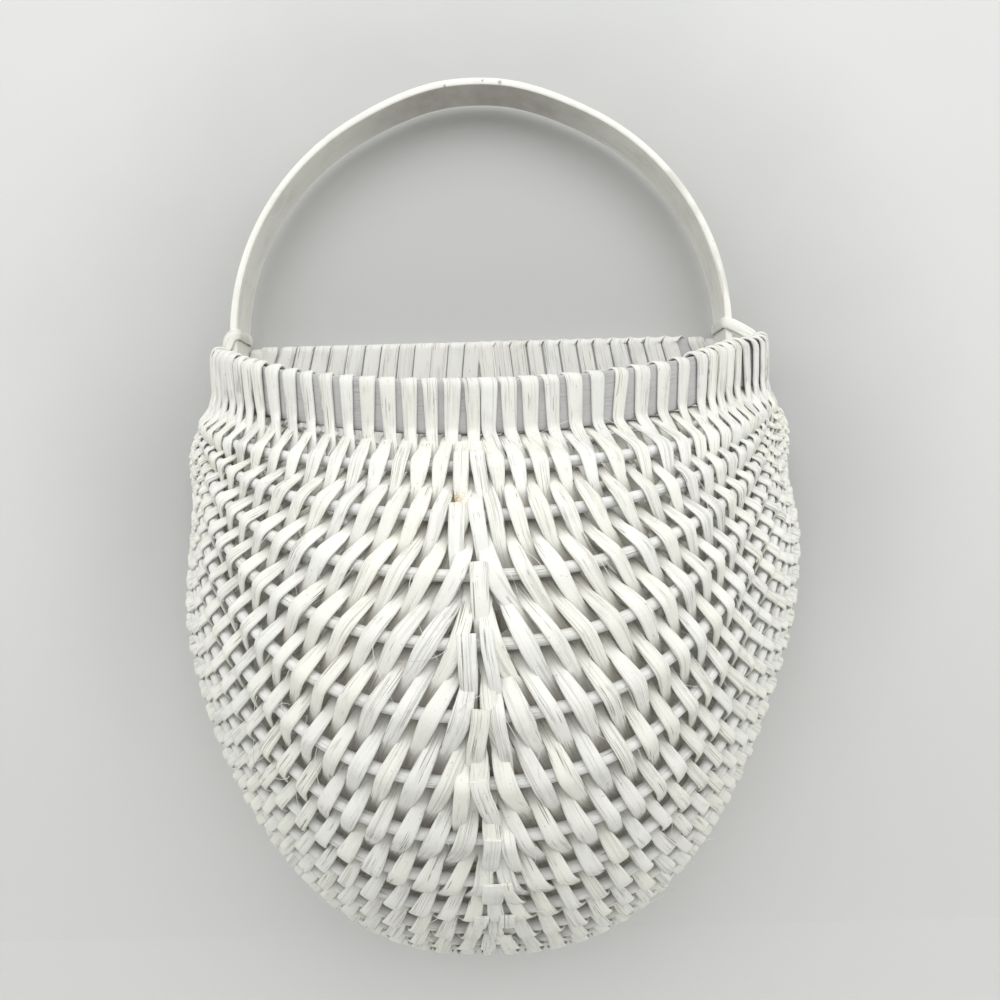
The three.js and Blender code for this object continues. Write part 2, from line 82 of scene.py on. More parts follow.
BACK_Y = -(REED_THICK + 2.25 + 0.15)
BACK_HALF = (HOOP_IN - GAP - REED_THICK - 3 * GAP) / math.sin(math.acos(0.3))
HOOP_SIDE = HOOP_MID * math.pi / 2 + (EAR_Z - 6 - BOWL_Z)
INSIDE = np.array([0.0, -45.0, -150.0])
SAMPLES = 400

# What the hand work adds to an even basket, in millimetres
EAR_BULGE, EAR_SINK, FLANK_PULL, FLANK_FULL = 8.5, 3.8, 6.3, 3.6
ARCH_PEAK, PEAK_ASIDE, PEAK_HALF, PEAK_END = 2.5, 2.0, 10.0, 62.0

# The share by which the crossings turn with the ribs near the ears
EAR_TURN = 0.6

# Bare places as centre and radius, in metres in the model's frame
FRAYED_ENDS = (((-0.0079, -0.132, -0.2130), 0.0042), ((-0.0062, -0.132, -0.2136), 0.0032))
HANDLE_NICKS = (((-0.0158, -0.0239, 0.0021), 0.0012), ((0.0038, -0.0239, 0.0046), 0.0010),
                ((0.0128, -0.0239, 0.0034), 0.0017))
BARE_SHARE = 0.85

# Lamps as name, place, watts and size, and the camera fitted to the photograph
LAMPS = (("key", (0.0, -0.95, 0.72), 8.5, 1.1), ("left fill", (-1.2, -0.9, 0.35), 6.0, 1.0),
         ("right fill", (1.2, -0.9, 0.35), 7.0, 1.0))
LAMPS_LOOK_AT = (0.0, 0.0, -0.2)
CAMERA_PLACE, CAMERA_LENS, CAMERA_SHIFT, CAMERA_ROLL = (0.0071, -0.413, -0.213), 27.036, 0.001, -1.41
ROOM_LIGHT = 0.68

# The wall turns into a floor with a wide curve: how far it reaches out, down, up and to the sides
FLOOR_REACH, FLOOR_DROP, WALL_TOP, WALL_SIDE = 3.0, 0.75, 2.2, 9.0
CURVE, WALL_BEHIND = 0.3, 0.0015

# Strand tones: steps of the golden ratio keep neighbours apart
TONE_STEP = 0.6180339


def smooth(value, low, high):
    """0 at low, 1 at high and a soft slope between them."""
    t = np.clip((value - low) / (high - low), 0, 1)
    return t * t * (3 - 2 * t)


def ear_shape(points):
    """What the real basket's hand work adds to an even one: the rim sinks a little at both ears, the right
    ear stands out further, the left flank is drawn in below its ear and the right one is fuller."""
    x, y, z = points.T
    near = smooth(-y, 66, 26) * smooth(z, 16, 8)
    out = EAR_BULGE * near * smooth(x, 112, 130) * smooth(z, -80, -42)
    drawn = FLANK_PULL * smooth(-x, 105, 150) * smooth(-z, 52, 85) * smooth(-z, 152, 90)
    drawn += FLANK_FULL * smooth(x, 105, 150) * smooth(-z, 66, 110) * smooth(-z, 205, 135)
    sink = EAR_SINK * near * smooth(np.abs(x), 116, 130) * smooth(z, -44, -14)
    return points + np.stack([out + drawn, 0 * y, -sink], -1)


def placed(points):
    """Millimetres in the basket's own frame to metres in the model's frame."""
    return (np.asarray(points, float) - [0, 0, HOOK_DROP]) / 1000


def unit(v):
    """The same directions at length one."""
    return v / np.maximum(np.linalg.norm(v, axis=-1, keepdims=True), 1e-9)


def bezier(a, b, c, d, steps=800):
    """A cubic curve from a to d."""
    t = np.linspace(0, 1, steps)[:, None]
    return (1 - t) ** 3 * a + 3 * (1 - t) ** 2 * t * b + 3 * (1 - t) * t * t * c + t**3 * d


def lengths_of(points):
    """Length along a line at each of its points."""
    return np.r_[0, np.linalg.norm(np.diff(points, axis=0), axis=1).cumsum()]


def read_off(table, run, at):
    """A table of three columns, given along `run`, read off at one or more places."""
    return np.stack([np.interp(at, run, table[:, i]) for i in range(3)], -1)


def belly_levels():
    """Where each front rib crosses the middle plane, as y and z."""
    top = np.array([-RIM_REACH - 2, -RIM_DIP - RIM_HEIGHT + 2])
    base = np.array([-BASE_FROM_WALL, -BODY_DROP])
    line = bezier(top, top - BELLY_PULL * np.array([math.cos(BELLY_ANGLE), math.sin(BELLY_ANGLE)]),
                  base + BASE_PULL * np.array([math.cos(BASE_ANGLE), -math.sin(BASE_ANGLE)]), base)
    run = lengths_of(line)
    at = FIRST_RIB_DROP + np.arange(FRONT_RIBS) * (run[-1] - FIRST_RIB_DROP) / (FRONT_RIBS + 1)
    return np.stack([np.interp(at, run, line[:, 0]), np.interp(at, run, line[:, 1])], -1)


LEVELS = belly_levels()


def front_rib(k, phi):
    """Centre line of front rib k, from phi a quarter turn at the right ear to 0 at the middle."""
    u = (k - 1) / FRONT_RIBS
    swell = SIDE_SWELL + SIDE_SWELL_GROW * u**2 - SIDE_SWELL_EASE * u**6
    side = np.sin(phi)
    x = np.sign(side) * EAR_HALF * np.abs(side) ** (1 - SIDE_SQUARE * u) + swell * np.sin(2 * phi)
    share = np.maximum(np.cos(phi), 0) ** (RIB_POWER - FIRST_RIB_SQUARE * (1 - u) ** 3)
    y, z = LEVELS[k - 1]
    return np.stack([x, EAR_Y + (y - EAR_Y) * share, EAR_Z + (z - EAR_Z) * share], -1)


def back_rib(j, phi):
    """Centre line of back rib j, counted from the bottom."""
    lowest, highest = HOOP_THICK - BODY_DROP, -RIM_HEIGHT - 2 * GAP - REED_THICK
    low = lowest + (highest - lowest) * j / (BACK_RIBS + 1)
    power = BACK_POWER_LOW + BACK_POWER_GROW * (j - 1) / (BACK_RIBS - 1)
    share = np.maximum(np.cos(phi), 0) ** power
    ear = EAR_Z + 2
    return np.stack([BACK_HALF * np.sin(phi), np.full_like(phi, BACK_Y), ear + (low - ear) * share], -1)


def rim_line(phi):
    """The rim's top line, its outward direction and its leaning up direction."""
    share = np.maximum(np.cos(phi), 0) ** RIM_BOW
    point = np.stack([RIM_HALF * np.sin(phi), HOOP_FRONT - (RIM_REACH + HOOP_FRONT) * share,
                      -RIM_DIP * share], -1)
    way = np.gradient(point, axis=0)
    way[:, 2] = 0
    way = unit(way)
    out = np.stack([way[:, 1], -way[:, 0], np.zeros(len(phi))], -1)
    lean = (RIM_LEAN * share)[:, None]
    return point, out, out * np.sin(lean) + np.array([0, 0, 1.0]) * np.cos(lean)


def rim_half():
    """The rim from the middle to the right ear and straight back to its end by the wall."""
    top, out, up = rim_line(np.linspace(0, math.pi / 2, SAMPLES))
    back = np.stack([np.full(30, RIM_HALF), np.linspace(HOOP_FRONT - 0.5, HOOP_BACK - 1, 30),
                     np.zeros(30)], -1)
    return (np.concatenate([top, back]), np.concatenate([out, np.tile([1.0, 0, 0], (30, 1))]),
            np.concatenate([up, np.tile([0, 0, 1.0], (30, 1))]))


class Course:
    """One line that the weave crosses, from the right ear (run 0) to the middle plane."""

    def __init__(self, points, out, reach):
        self.points, self.out, self.reach = points, out, reach
        self.run = lengths_of(points)
        self.length = self.run[-1]

    def at(self, run):
        """Point, outward direction and half thickness at a run."""
        return (read_off(self.points, self.run, run), unit(read_off(self.out, self.run, run)),
                float(np.interp(run, self.run, self.reach)))


def outward(points, across):
    """Normals of the wall along a course, from its own direction and the way to its neighbours."""
    way = unit(np.gradient(points, axis=0))
    normal = unit(np.cross(way, across))
    flip = np.sum(normal * (points - INSIDE), axis=1) < 0
    normal[flip] *= -1
    return normal


def rib_reach(points, others, radius):
    """A rib's radius, shaved thin where the neighbouring ribs come close."""
    way = unit(np.gradient(points, axis=0))
    near = []
    for other in others:
        chord = other - points
        chord = chord - way * np.sum(chord * way, axis=1, keepdims=True)
        near.append(np.linalg.norm(chord, axis=1))
    return np.minimum(radius, 0.3 * np.min(near, axis=0))


def make_courses(radius):
    """The courses by number: front ribs from the rim down, then the hoop, then back ribs going up."""
    phi = np.linspace(math.pi / 2, 0, SAMPLES)
    fronts = [front_rib(k, phi) for k in range(1, FRONT_RIBS + 1)]
    backs = [back_rib(j, phi) for j in range(1, BACK_RIBS + 1)]
    rim_points, _, rim_up = rim_line(phi)
    low_rim = rim_points - rim_up * (RIM_HEIGHT + 2.5)
    hoop_run = np.linspace(0, HOOP_SIDE, SAMPLES)
    from_low = HOOP_SIDE - hoop_run
    bend = HOOP_MID * math.pi / 2
    angle = math.pi - np.minimum(from_low, bend) / HOOP_MID
    hoop_out = np.stack([np.sin(angle), np.zeros(SAMPLES), np.cos(angle)], -1)
    hoop = hoop_out * HOOP_MID
    hoop += np.stack([np.zeros(SAMPLES), np.full(SAMPLES, HOOP_FRONT + 2),
                      BOWL_Z + np.maximum(from_low - bend, 0)], -1)
    courses = {}
    chain = [low_rim, *fronts, hoop]
    for k in range(1, FRONT_RIBS + 1):
        own = chain[k]
        run = lengths_of(own)
        before, after = (read_off(line, lengths_of(line), run) for line in (chain[k - 1], chain[k + 1]))
        other = [fronts[i - 1] for i in (k - 1, k + 1) if 1 <= i <= FRONT_RIBS]
        courses[k] = Course(own, outward(own, after - before), rib_reach(own, other, radius))
    courses[HOOP_COURSE] = Course(hoop, hoop_out, np.full(SAMPLES, HOOP_THICK / 2))
    for j in range(1, BACK_RIBS + 1):
        own = backs[j - 1]
        other = [backs[i - 1] for i in (j - 1, j + 1) if 1 <= i <= BACK_RIBS]
        out = np.tile([0.0, 1.0, 0.0], (SAMPLES, 1))
        courses[HOOP_COURSE + j] = Course(own, out, rib_reach(own, other, radius))
    return courses


# Rows of weaving

FIRST_ROW, LAST_ROW = 0, 64
BEHIND = 40.0  # stands for the distance from the middle where a row is round the back or tucked in


class Weave:
    """Where every row crosses every course, and the strands that run through those crossings."""

    def __init__(self, settings):
        self.pitch = settings.row_pitch * 1000
        self.first = settings.first_row * 1000
        self.thick = settings.reed_thickness * 1000
        self.half = settings.reed_width * 500
        self.courses = make_courses(settings.rib_diameter * 500)
        self.rng = np.random.default_rng(settings.seed)
        self.starts = {}

    def centre_pull(self, q):
        """How far rows are drawn to the middle, and over what length that fades."""
        return {1: (24.0, 85.0), 2: (12.5, 64.0), 3: (7.0, 64.0), 4: (8.0, 64.0)}.get(q, (9.0, 64.0))

    def drift(self, q):
        """How much further apart rows stand on a course than on the first rib."""
        return 1 + 0.005 * (min(q, HOOP_COURSE) - 1) - 0.017 * max(q - HOOP_COURSE, 0)

    def from_centre(self, row, q):
        """Distance from the middle plane of a row on a course; negative where it hasn't begun."""
        if q not in self.starts:
            own = [self.loose(r, q) for r in range(FIRST_ROW, LAST_ROW)]
            self.starts[q] = min(d for d in own if d > 1.0)
        d = self.loose(row, q)
        if d < self.starts[q] - 0.01:
            return d - self.starts[q] + 2.4
        return d + (2.4 - self.starts[q]) * math.exp(-(d - self.starts[q]) / 9)

    def loose(self, row, q):
        """The same distance before the rows close up at the middle."""
        pull, fade = self.centre_pull(q)
        spread = self.courses[q].length + pull - (self.first + self.pitch * row) * self.drift(q)
        return spread - pull * (1 - math.exp(-spread / fade)) if spread > 0 else spread

    def is_over(self, row, q, side):
        """Whether a row passes outside a course."""
        return (row + q + (side < 0)) % 2 == 0

    def warp(self, q, side, d):
        """Rows stand closer together on the left of the first ribs than on the right."""
        share = max(0.0, 1 - (q - 1) / 5)
        if side < 0:
            return -3.3 * share * math.sin(math.pi * min(max((d - 7) / 113, 0), 1))
        fade = min(max((d - 28) / 40, 0), 1)
        late = min(max((175 - d) / 90, 0), 1)
        return share * (3.4 + 7.5 * fade * fade * (3 - 2 * fade)) * late

    def crossing(self, row, q, side):
        """Point, outward direction and half thickness where a row crosses a course."""
        course, d = self.courses[q], self.from_centre(row, q)
        along = course.length - d - self.warp(q, side, d)
        point, out, reach = course.at(along)
        turn = EAR_TURN * min(max((d - 70) / 80, 0), 1) * max(0.0, 1 - (q - 1) / 2)
        if turn > 0:
            rod = unit(course.at(along + 1)[0] - course.at(along - 1)[0])
            ahead = unit(np.array([0.0, -1.0, 0.0]) + rod * rod[1])
            out = unit(out * (1 - turn) + ahead * turn)
        mirror = np.array([side, 1, 1])
        return point * mirror, out * mirror, reach

    def rows_on(self, q):
        """Rows that have begun by this course."""
        return [r for r in range(FIRST_ROW, LAST_ROW) if self.from_centre(r, q) > 2.3]

    def spacing(self, row, q):
        """Distance along a course between this row and the next ones."""
        near = [self.from_centre(r, q) for r in (row - 1, row + 1)]
        return abs(near[0] - near[1]) / 2

    def row_path(self, row, side, stations):
        """Keys of a row: point, way out, lift off the line, spacing and distance from the middle."""
        keys = []
        for q in stations:
            point, out, reach = self.crossing(row, q, side)
            over = self.is_over(row, q, side)
            lift = reach + self.thick / 2 + 0.05
            if q < HOOP_COURSE:
                lift += 0.5 if over else 1.1 * min(1.0, reach / 2.25)
            keys.append((point, out, lift if over else -lift, self.spacing(row, q),
                         self.from_centre(row, q) * min(max((q - 2) / 3, 0), 1)))
            if q == HOOP_COURSE:
                back = point * [1, 0, 1] + [0, HOOP_BACK - 1.5, 0]
                keys.append((back, out, lift if over else -lift, self.spacing(row, q), BEHIND))
                if over:
                    edge = back * [1, 0, 1] + [0, HOOP_BACK, 0]
                    keys.append((edge, np.array([0.0, 1.0, 0.0]), self.thick / 2 + 0.1,
                                 self.spacing(row, q), BEHIND))
        return keys

    def rim_place(self, pair_from_centre, side):
        """Where a wrap stands along the rim: close at the middle, wider apart further out."""
        i = pair_from_centre
        left, right = (2.5, 8.3, 0.1, 11, 8.0), (3.9, 8.0, 0.22, 10, 7.7)
        first, step, growth, last, close = left if side < 0 else right
        return first + step * min(i, last) + growth * min(i, last) ** 2 + close * max(i - last, 0)

    def rim_pairs(self):
        """How many turns go over each half of the rim."""
        return (max(self.rows_on(1)) + 1) // 2

    def rim_legs(self, row, side):
        """Along-rim places of the outer and the inner leg of the wrap that a row belongs to."""
        pair = row // 2
        place = self.rim_place(self.rim_pairs() - 1 - pair, side)
        reach = -2.2 if self.is_over(2 * pair, 0, side) else 2.2
        return place, place + reach

    def rim_key(self, row, side):
        """The start of a row that leaves the inside of the rim and passes over the first rib."""
        top, out, up = rim_half()
        run = lengths_of(top)
        d = self.rim_legs(row, side)[1]
        mirror = np.array([side, 1, 1])
        point, face, lift = (read_off(table, run, d) for table in (top, out, up))
        face, lift = unit(face), unit(lift)
        ahead = 0.85 * smooth(d, 50, 110)
        face = unit(face * (1 - ahead) + np.array([0.0, -1.0, 0.15]) * ahead)
        return (point - lift * (RIM_HEIGHT + 0.6)) * mirror, face * mirror, -0.6, 7.0, 0.0

    def lead_in(self, row, q, side):
        """A new row starts tucked behind, above its first crossing."""
        course, own = self.courses[q - 1], self.from_centre(row, q - 1)
        aside = max(own, 0.8 + 0.25 * self.from_centre(row, q))
        point, out, reach = course.at(course.length - aside)
        first, _, _ = self.courses[q].at(self.courses[q].length - self.from_centre(row, q))
        if not self.is_over(row, q, side):
            point = first + (point - first) * 0.18
        mirror = np.array([side, 1, 1])
        return point * mirror, out * mirror, -(reach + self.thick / 2 + 0.05), 4.0, BEHIND

    def lead_out(self, row, q, side):
        """A row that reaches the middle of the back is tucked in behind the next rib."""
        course = self.courses[q + 1]
        aside = max(self.from_centre(row, q + 1), 0.8 + 0.25 * self.from_centre(row, q))
        point, out, reach = course.at(course.length - aside)
        last, _, _ = self.courses[q].at(self.courses[q].length - self.from_centre(row, q))
        if not self.is_over(row, q, side):
            point = last + (point - last) * 0.45
        mirror = np.array([side, 1, 1])
        return point * mirror, out * mirror, -(reach + self.thick / 2 + 0.05), 4.0, BEHIND

    def strand(self, keys, samples=10):
        """Smooth guide through the keys, with the wave from outside to inside at each rib."""
        points, outs, lifts, gaps, aside = (np.array(column) for column in zip(*keys))
        jitter = self.rng.normal(0, 1, (len(keys), 3))
        n = len(keys)
        t = np.linspace(0, n - 1, (n - 1) * samples + 1)
        i = np.minimum(t.astype(int), n - 2)
        f = (t - i)[:, None]
        before, after = points[np.maximum(i - 1, 0)], points[np.minimum(i + 2, n - 1)]
        m0 = (points[i + 1] - before) / 2
        m1 = (after - points[i]) / 2
        base = ((2 * f**3 - 3 * f**2 + 1) * points[i] + (f**3 - 2 * f**2 + f) * m0
                + (-2 * f**3 + 3 * f**2) * points[i + 1] + (f**3 - f**2) * m1)
        out = unit(outs[i] * (1 - f) + outs[i + 1] * f)
        ease = bent_ease(f[:, 0], 0.14)
        lift = lifts[i] * (1 - ease) + lifts[i + 1] * ease
        level = np.abs(1 - 2 * f[:, 0])
        spacing = gaps[i] * (1 - f[:, 0]) + gaps[i + 1] * f[:, 0]
        wide = jitter[i, 0] * (1 - f[:, 0]) + jitter[i + 1, 0] * f[:, 0]
        far = np.clip((aside[i] * (1 - f[:, 0]) + aside[i + 1] * f[:, 0] - 45) / 80, 0, 1)
        strip = self.half * (1 + 0.07 * self.rng.normal()) * (1 - 0.27 * far)
        full = np.minimum(strip, 0.95 * spacing) * (1 + 0.05 * wide)
        tight = np.minimum(self.half, 0.46 * spacing)
        half = tight + (full - tight) * np.clip(level * 1.25, 0, 1) ** 0.7
        shift = (jitter[i, 1] * (1 - f[:, 0]) + jitter[i + 1, 1] * f[:, 0]) * 0.25 * level
        tilt = np.radians(3.0) * (jitter[i, 2] * (1 - f[:, 0]) + jitter[i + 1, 2] * f[:, 0]) * level
        path = base + out * lift[:, None]
        way = unit(np.gradient(path, axis=0))
        across = unit(np.cross(way, out))
        across = unit(across * np.cos(tilt)[:, None] + out * np.sin(tilt)[:, None])
        path = path + across * shift[:, None]
        path[:, 1] = np.minimum(path[:, 1], -self.thick / 2 - GAP)
        face = unit(np.cross(across, way))
        # deep is painted shade: it grows as the strand dives behind a rib and darkens it there toward the
        # bare reed colour
        return {"path": path, "across": across, "face": face, "half": half,
                "thick": np.full(len(path), self.thick / 2), "cup": np.where(lift > 0, 0.25 * level, 0),
                "deep": np.clip(-lift / 3.0, 0, 1)}


def bent_ease(f, soft):
    """From 0 to 1 along a straight slope, with a bend of length `soft` at either end."""
    f = np.asarray(f, float)
    low = f * f / (2 * soft)
    mid = f - soft / 2
    high = (1 - soft) - (1 - f) ** 2 / (2 * soft)
    return np.where(f < soft, low, np.where(f > 1 - soft, high, mid)) / (1 - soft)


def right_handed(strand):
    """The strand's across direction, turned so that its faces look outward."""
    way = np.gradient(strand["path"], axis=0)
    turn = np.einsum("ij,ij->i", np.cross(strand["across"], strand["face"]), way).sum()
    return strand["across"] * (1 if turn > 0 else -1)


def guide_mesh(name, strands):
    """One mesh of polylines that carries each strand's own frame at its points."""
    mesh = bpy.data.meshes.new(name)
    points = np.concatenate([s["path"] for s in strands])
    points = placed(points if strands[0].get("still") else ear_shape(points))
    edges, first = [], 0
    for s in strands:
        n = len(s["path"])
        edges += [(first + i, first + i + 1) for i in range(n - 1)]
        first += n
    mesh.from_pydata(points.tolist(), edges, [])
    tones = np.concatenate([np.full(len(s["path"]), s["tone"]) for s in strands])
    lines = {
        "centre": points,
        "across": np.concatenate([right_handed(s) for s in strands]),
        "face": np.concatenate([s["face"] for s in strands]),
    }
    for key, values in lines.items():
        layer = mesh.attributes.new(key, "FLOAT_VECTOR", "POINT")
        layer.data.foreach_set("vector", np.ascontiguousarray(values, np.float32).ravel())
    values = {key: np.concatenate([s[key] for s in strands]) / 1000 for key in ("half", "thick", "cup")}
    values["strand"] = tones
    # Painted shade behind the ribs, zero on strands that never pass behind one
    values["deep"] = np.concatenate([s.get("deep", np.zeros(len(s["path"]))) for s in strands])
    for key, one in values.items():
        layer = mesh.attributes.new(key, "FLOAT", "POINT")
        layer.data.foreach_set("value", np.ascontiguousarray(one, np.float32))
    guide = bpy.data.objects.new(name, mesh)
    bpy.context.scene.collection.objects.link(guide)
    return guide


# Geometry nodes

def reed_tree():
    """The node tree that gives guides a flat or round section, one closed body per strand."""
    tree = bpy.data.node_groups.get("Reed strand")
    if tree:
        return tree
    tree = bpy.data.node_groups.new("Reed strand", "GeometryNodeTree")
    face = tree.interface
    face.new_socket("Guides", in_out="INPUT", socket_type="NodeSocketGeometry")
    for name, kind, value in (
        ("Section points", "NodeSocketInt", 12),
        ("Corner exponent", "NodeSocketFloat", 0.6),
        ("Width factor", "NodeSocketFloat", 1.0),
        ("Thickness factor", "NodeSocketFloat", 1.0),
        ("Material", "NodeSocketMaterial", None),
    ):
        socket = face.new_socket(name, in_out="INPUT", socket_type=kind)
        if value is not None:
            socket.default_value = value
    face.new_socket("Strands", in_out="OUTPUT", socket_type="NodeSocketGeometry")
    nodes, links = tree.nodes, tree.links
    made = {}

    def node(kind, **settings):
        one = nodes.new(kind)
        for key, value in settings.items():
            setattr(one, key, value)
        return one

    def named(name, kind="FLOAT"):
        if name not in made:
            one = node("GeometryNodeInputNamedAttribute", data_type=kind)
            one.inputs["Name"].default_value = name
            made[name] = one.outputs["Attribute"]
        return made[name]

    def math_of(operation, a, b=None):
        one = node("ShaderNodeMath", operation=operation)
        for socket, value in zip(one.inputs, (a, b)):
            if isinstance(value, (int, float)):
                socket.default_value = value
            elif value is not None:
                links.new(value, socket)
        return one.outputs[0]

    def vector_of(operation, a, b=None, scale=None):
        one = node("ShaderNodeVectorMath", operation=operation)
        for socket, value in zip(one.inputs, (a, b)):
            if value is not None:
                links.new(value, socket)
        if scale is not None:
            links.new(scale, one.inputs["Scale"])
        return one.outputs[0]

    def store(geometry, name, kind, value):
        one = node("GeometryNodeStoreNamedAttribute", data_type=kind, domain="POINT")
        links.new(geometry, one.inputs["Geometry"])
        one.inputs["Name"].default_value = name
        links.new(value, one.inputs["Value"])
        return one.outputs["Geometry"]

    given = node("NodeGroupInput")
    curve = node("GeometryNodeMeshToCurve")
    links.new(given.outputs["Guides"], curve.inputs["Mesh"])
    spline = node("GeometryNodeSplineParameter")
    rail = store(curve.outputs["Curve"], "run", "FLOAT", spline.outputs["Length"])
    ring = node("GeometryNodeCurvePrimitiveCircle", mode="RADIUS")
    links.new(given.outputs["Section points"], ring.inputs["Resolution"])
    ring.inputs["Radius"].default_value = 1.0
    profile = store(ring.outputs["Curve"], "section", "FLOAT_VECTOR",
                    node("GeometryNodeInputPosition").outputs["Position"])
    small = node("GeometryNodeTransform")
    links.new(profile, small.inputs["Geometry"])
    small.inputs["Scale"].default_value = (0.0005, 0.0005, 0.0005)
    tube = node("GeometryNodeCurveToMesh")
    links.new(rail, tube.inputs["Curve"])
    links.new(small.outputs["Geometry"], tube.inputs["Profile Curve"])
    tube.inputs["Fill Caps"].default_value = True
    split = node("ShaderNodeSeparateXYZ")
    links.new(named("section", "FLOAT_VECTOR"), split.inputs["Vector"])

    def cornered(value):
        size = math_of("POWER", math_of("ABSOLUTE", value), given.outputs["Corner exponent"])
        return math_of("MULTIPLY", size, math_of("SIGN", value))

    side, height = cornered(split.outputs["X"]), cornered(split.outputs["Y"])
    dome = math_of("MULTIPLY", math_of("SUBTRACT", 1.0, math_of("MULTIPLY", side, side)), named("cup"))
    wide = math_of("MULTIPLY", math_of("MULTIPLY", side, named("half")), given.outputs["Width factor"])
    high = math_of("ADD", math_of("MULTIPLY", math_of("MULTIPLY", height, named("thick")),
                                  given.outputs["Thickness factor"]), dome)
    place = vector_of("ADD", vector_of("SCALE", named("across", "FLOAT_VECTOR"), scale=wide),
                      vector_of("SCALE", named("face", "FLOAT_VECTOR"), scale=high))
    place = vector_of("ADD", place, named("centre", "FLOAT_VECTOR"))
    move = node("GeometryNodeSetPosition")
    links.new(tube.outputs["Mesh"], move.inputs["Geometry"])
    links.new(place, move.inputs["Position"])
    packed = node("ShaderNodeCombineXYZ")
    links.new(wide, packed.inputs["X"])
    links.new(named("run"), packed.inputs["Y"])
    links.new(named("strand"), packed.inputs["Z"])
    reed = store(move.outputs["Geometry"], "reed", "FLOAT_VECTOR", packed.outputs["Vector"])
    rounded = node("GeometryNodeSetShadeSmooth")
    links.new(reed, rounded.inputs["Geometry"])
    real = node("GeometryNodeRealizeInstances")
    links.new(rounded.outputs["Geometry"], real.inputs["Geometry"])
    paint = node("GeometryNodeSetMaterial")
    links.new(real.outputs["Geometry"], paint.inputs["Geometry"])
    links.new(given.outputs["Material"], paint.inputs["Material"])
    result = node("NodeGroupOutput")
    links.new(paint.outputs["Geometry"], result.inputs["Strands"])
    return tree


def grow(name, strands, material, **sizes):
    """Run the reed tree over the strands and keep the result as one plain piece."""
    guide = guide_mesh(name + " guides", strands)
    tree = reed_tree()
    modifier = guide.modifiers.new("Reed", "NODES")
    modifier.node_group = tree
    keys = {item.name: item.identifier for item in tree.interface.items_tree if item.in_out == "INPUT"}
    modifier[keys["Material"]] = material
    for key, value in sizes.items():
        modifier[keys[key.replace("_", " ")]] = value
    graph = bpy.context.evaluated_depsgraph_get()
    mesh = bpy.data.meshes.new_from_object(guide.evaluated_get(graph))
    guide.modifiers.remove(modifier)
    bpy.data.objects.remove(guide)
    return keep(name, mesh, material)


def keep(name, mesh, material):
    """A mesh as a linked object with its material."""
    mesh.name = name
    if not mesh.materials:
        mesh.materials.append(material)
    piece = bpy.data.objects.new(name, mesh)
    bpy.context.scene.collection.objects.link(piece)
    return piece


# Strands of each kind

def over_rim(weave, place, reach, side):
    """The wrap from the outer leg, over the rim's top, to the inner leg `reach` further in."""
    top, out, up = rim_half()
    run = lengths_of(top)
    proud = RIM_THICK / 2 + weave.thick / 2 + 0.1
    steps = [-RIM_HEIGHT + 1.0, -RIM_HEIGHT * 0.72, -RIM_HEIGHT * 0.45, -RIM_HEIGHT * 0.2, -1.6]
    section = [(proud, level, 0.0) for level in steps]
    for angle in (25, 55, 90, 125, 155):
        turn = math.radians(angle)
        rise = -1.6 + (1.6 + weave.thick / 2 + 0.1) * math.sin(turn)
        section.append((proud * math.cos(turn), rise, angle / 180))
    section += [(-proud, level, 1.0) for level in reversed(steps)]
    path, face = [], []
    mirror = np.array([side, 1, 1])
    lean = weave.rng.normal() * 0.9
    for forth, rise, share in section:
        d = abs(place + reach * (share * share * (3 - 2 * share)) + lean * (rise / RIM_HEIGHT + 0.5))
        point, away, lift = (read_off(table, run, d) for table in (top, out, up))
        away, lift = unit(away), unit(lift)
        level = unit(np.cross(np.cross(lift, away), lift))
        path.append((point + level * forth + lift * rise) * mirror)
        turn = share * math.pi
        face.append((level * math.cos(turn) + lift * math.sin(turn)) * mirror)
    return np.array(path), np.array(face)


def resample(path, face, half, cup, step):
    """The same strand with points evenly spaced, about `step` apart."""
    run = lengths_of(path)
    n = max(int(run[-1] / step), 4)
    at = np.linspace(0, run[-1], n + 1)
    return (read_off(path, run, at), read_off(face, run, at), np.interp(at, run, half),
            np.interp(at, run, cup))


def framed(path, face, half, thick, cup, tone):
    """A guide from a path and the way its outer face looks; `tone` sets its shade among the others."""
    way = unit(np.gradient(path, axis=0))
    across = unit(np.cross(way, face))
    face = unit(np.cross(across, way))
    size = len(path)
    return {"path": path, "across": across, "face": face, "half": np.broadcast_to(half, size),
            "thick": np.full(size, thick), "cup": np.broadcast_to(cup, size), "tone": tone}


def still(strand):
    """Marks a strand that belongs to the hoop, whose legs keep their place inside the ears."""
    strand["still"] = True
    return strand


def flowing(path, face, half, cup, thick, tone, step=1.3, passes=3):
    """A guide through a few points, evenly spaced and smoothed."""
    path, face = np.array(path, float), unit(np.array(face, float))
    size = len(path)
    path, face, half, cup = resample(path, face, np.broadcast_to(half, size), np.full(size, cup), step)
    for _ in range(passes):
        path[1:-1] = (path[:-2] + 2 * path[1:-1] + path[2:]) / 4
        face[1:-1] = unit(face[:-2] + 2 * face[1:-1] + face[2:])
    return framed(path, unit(face), half, thick, cup, tone)


def weave_side(weave, side):
    """Strands of one side: front rows, and their way round the hoop and up the back."""
    strands = []
    lists = {q: set(weave.rows_on(q)) for q in range(1, LAST_COURSE + 1)}
    for row in range(FIRST_ROW, LAST_ROW):
        stations = [q for q in lists if row in lists[q]]
        if not stations:
            continue
        keys = weave.row_path(row, side, stations)
        if stations[0] > 1:
            keys.insert(0, weave.lead_in(row, stations[0], side))
        elif weave.is_over(row, 1, side):
            keys.insert(0, weave.rim_key(row, side))
        if stations[-1] < LAST_COURSE:
            keys.append(weave.lead_out(row, stations[-1], side))
        strand = weave.strand(keys)
        strand["tone"] = (row * TONE_STEP + (0.37 if side > 0 else 0)) % 1
        strands.append(strand)
    return strands


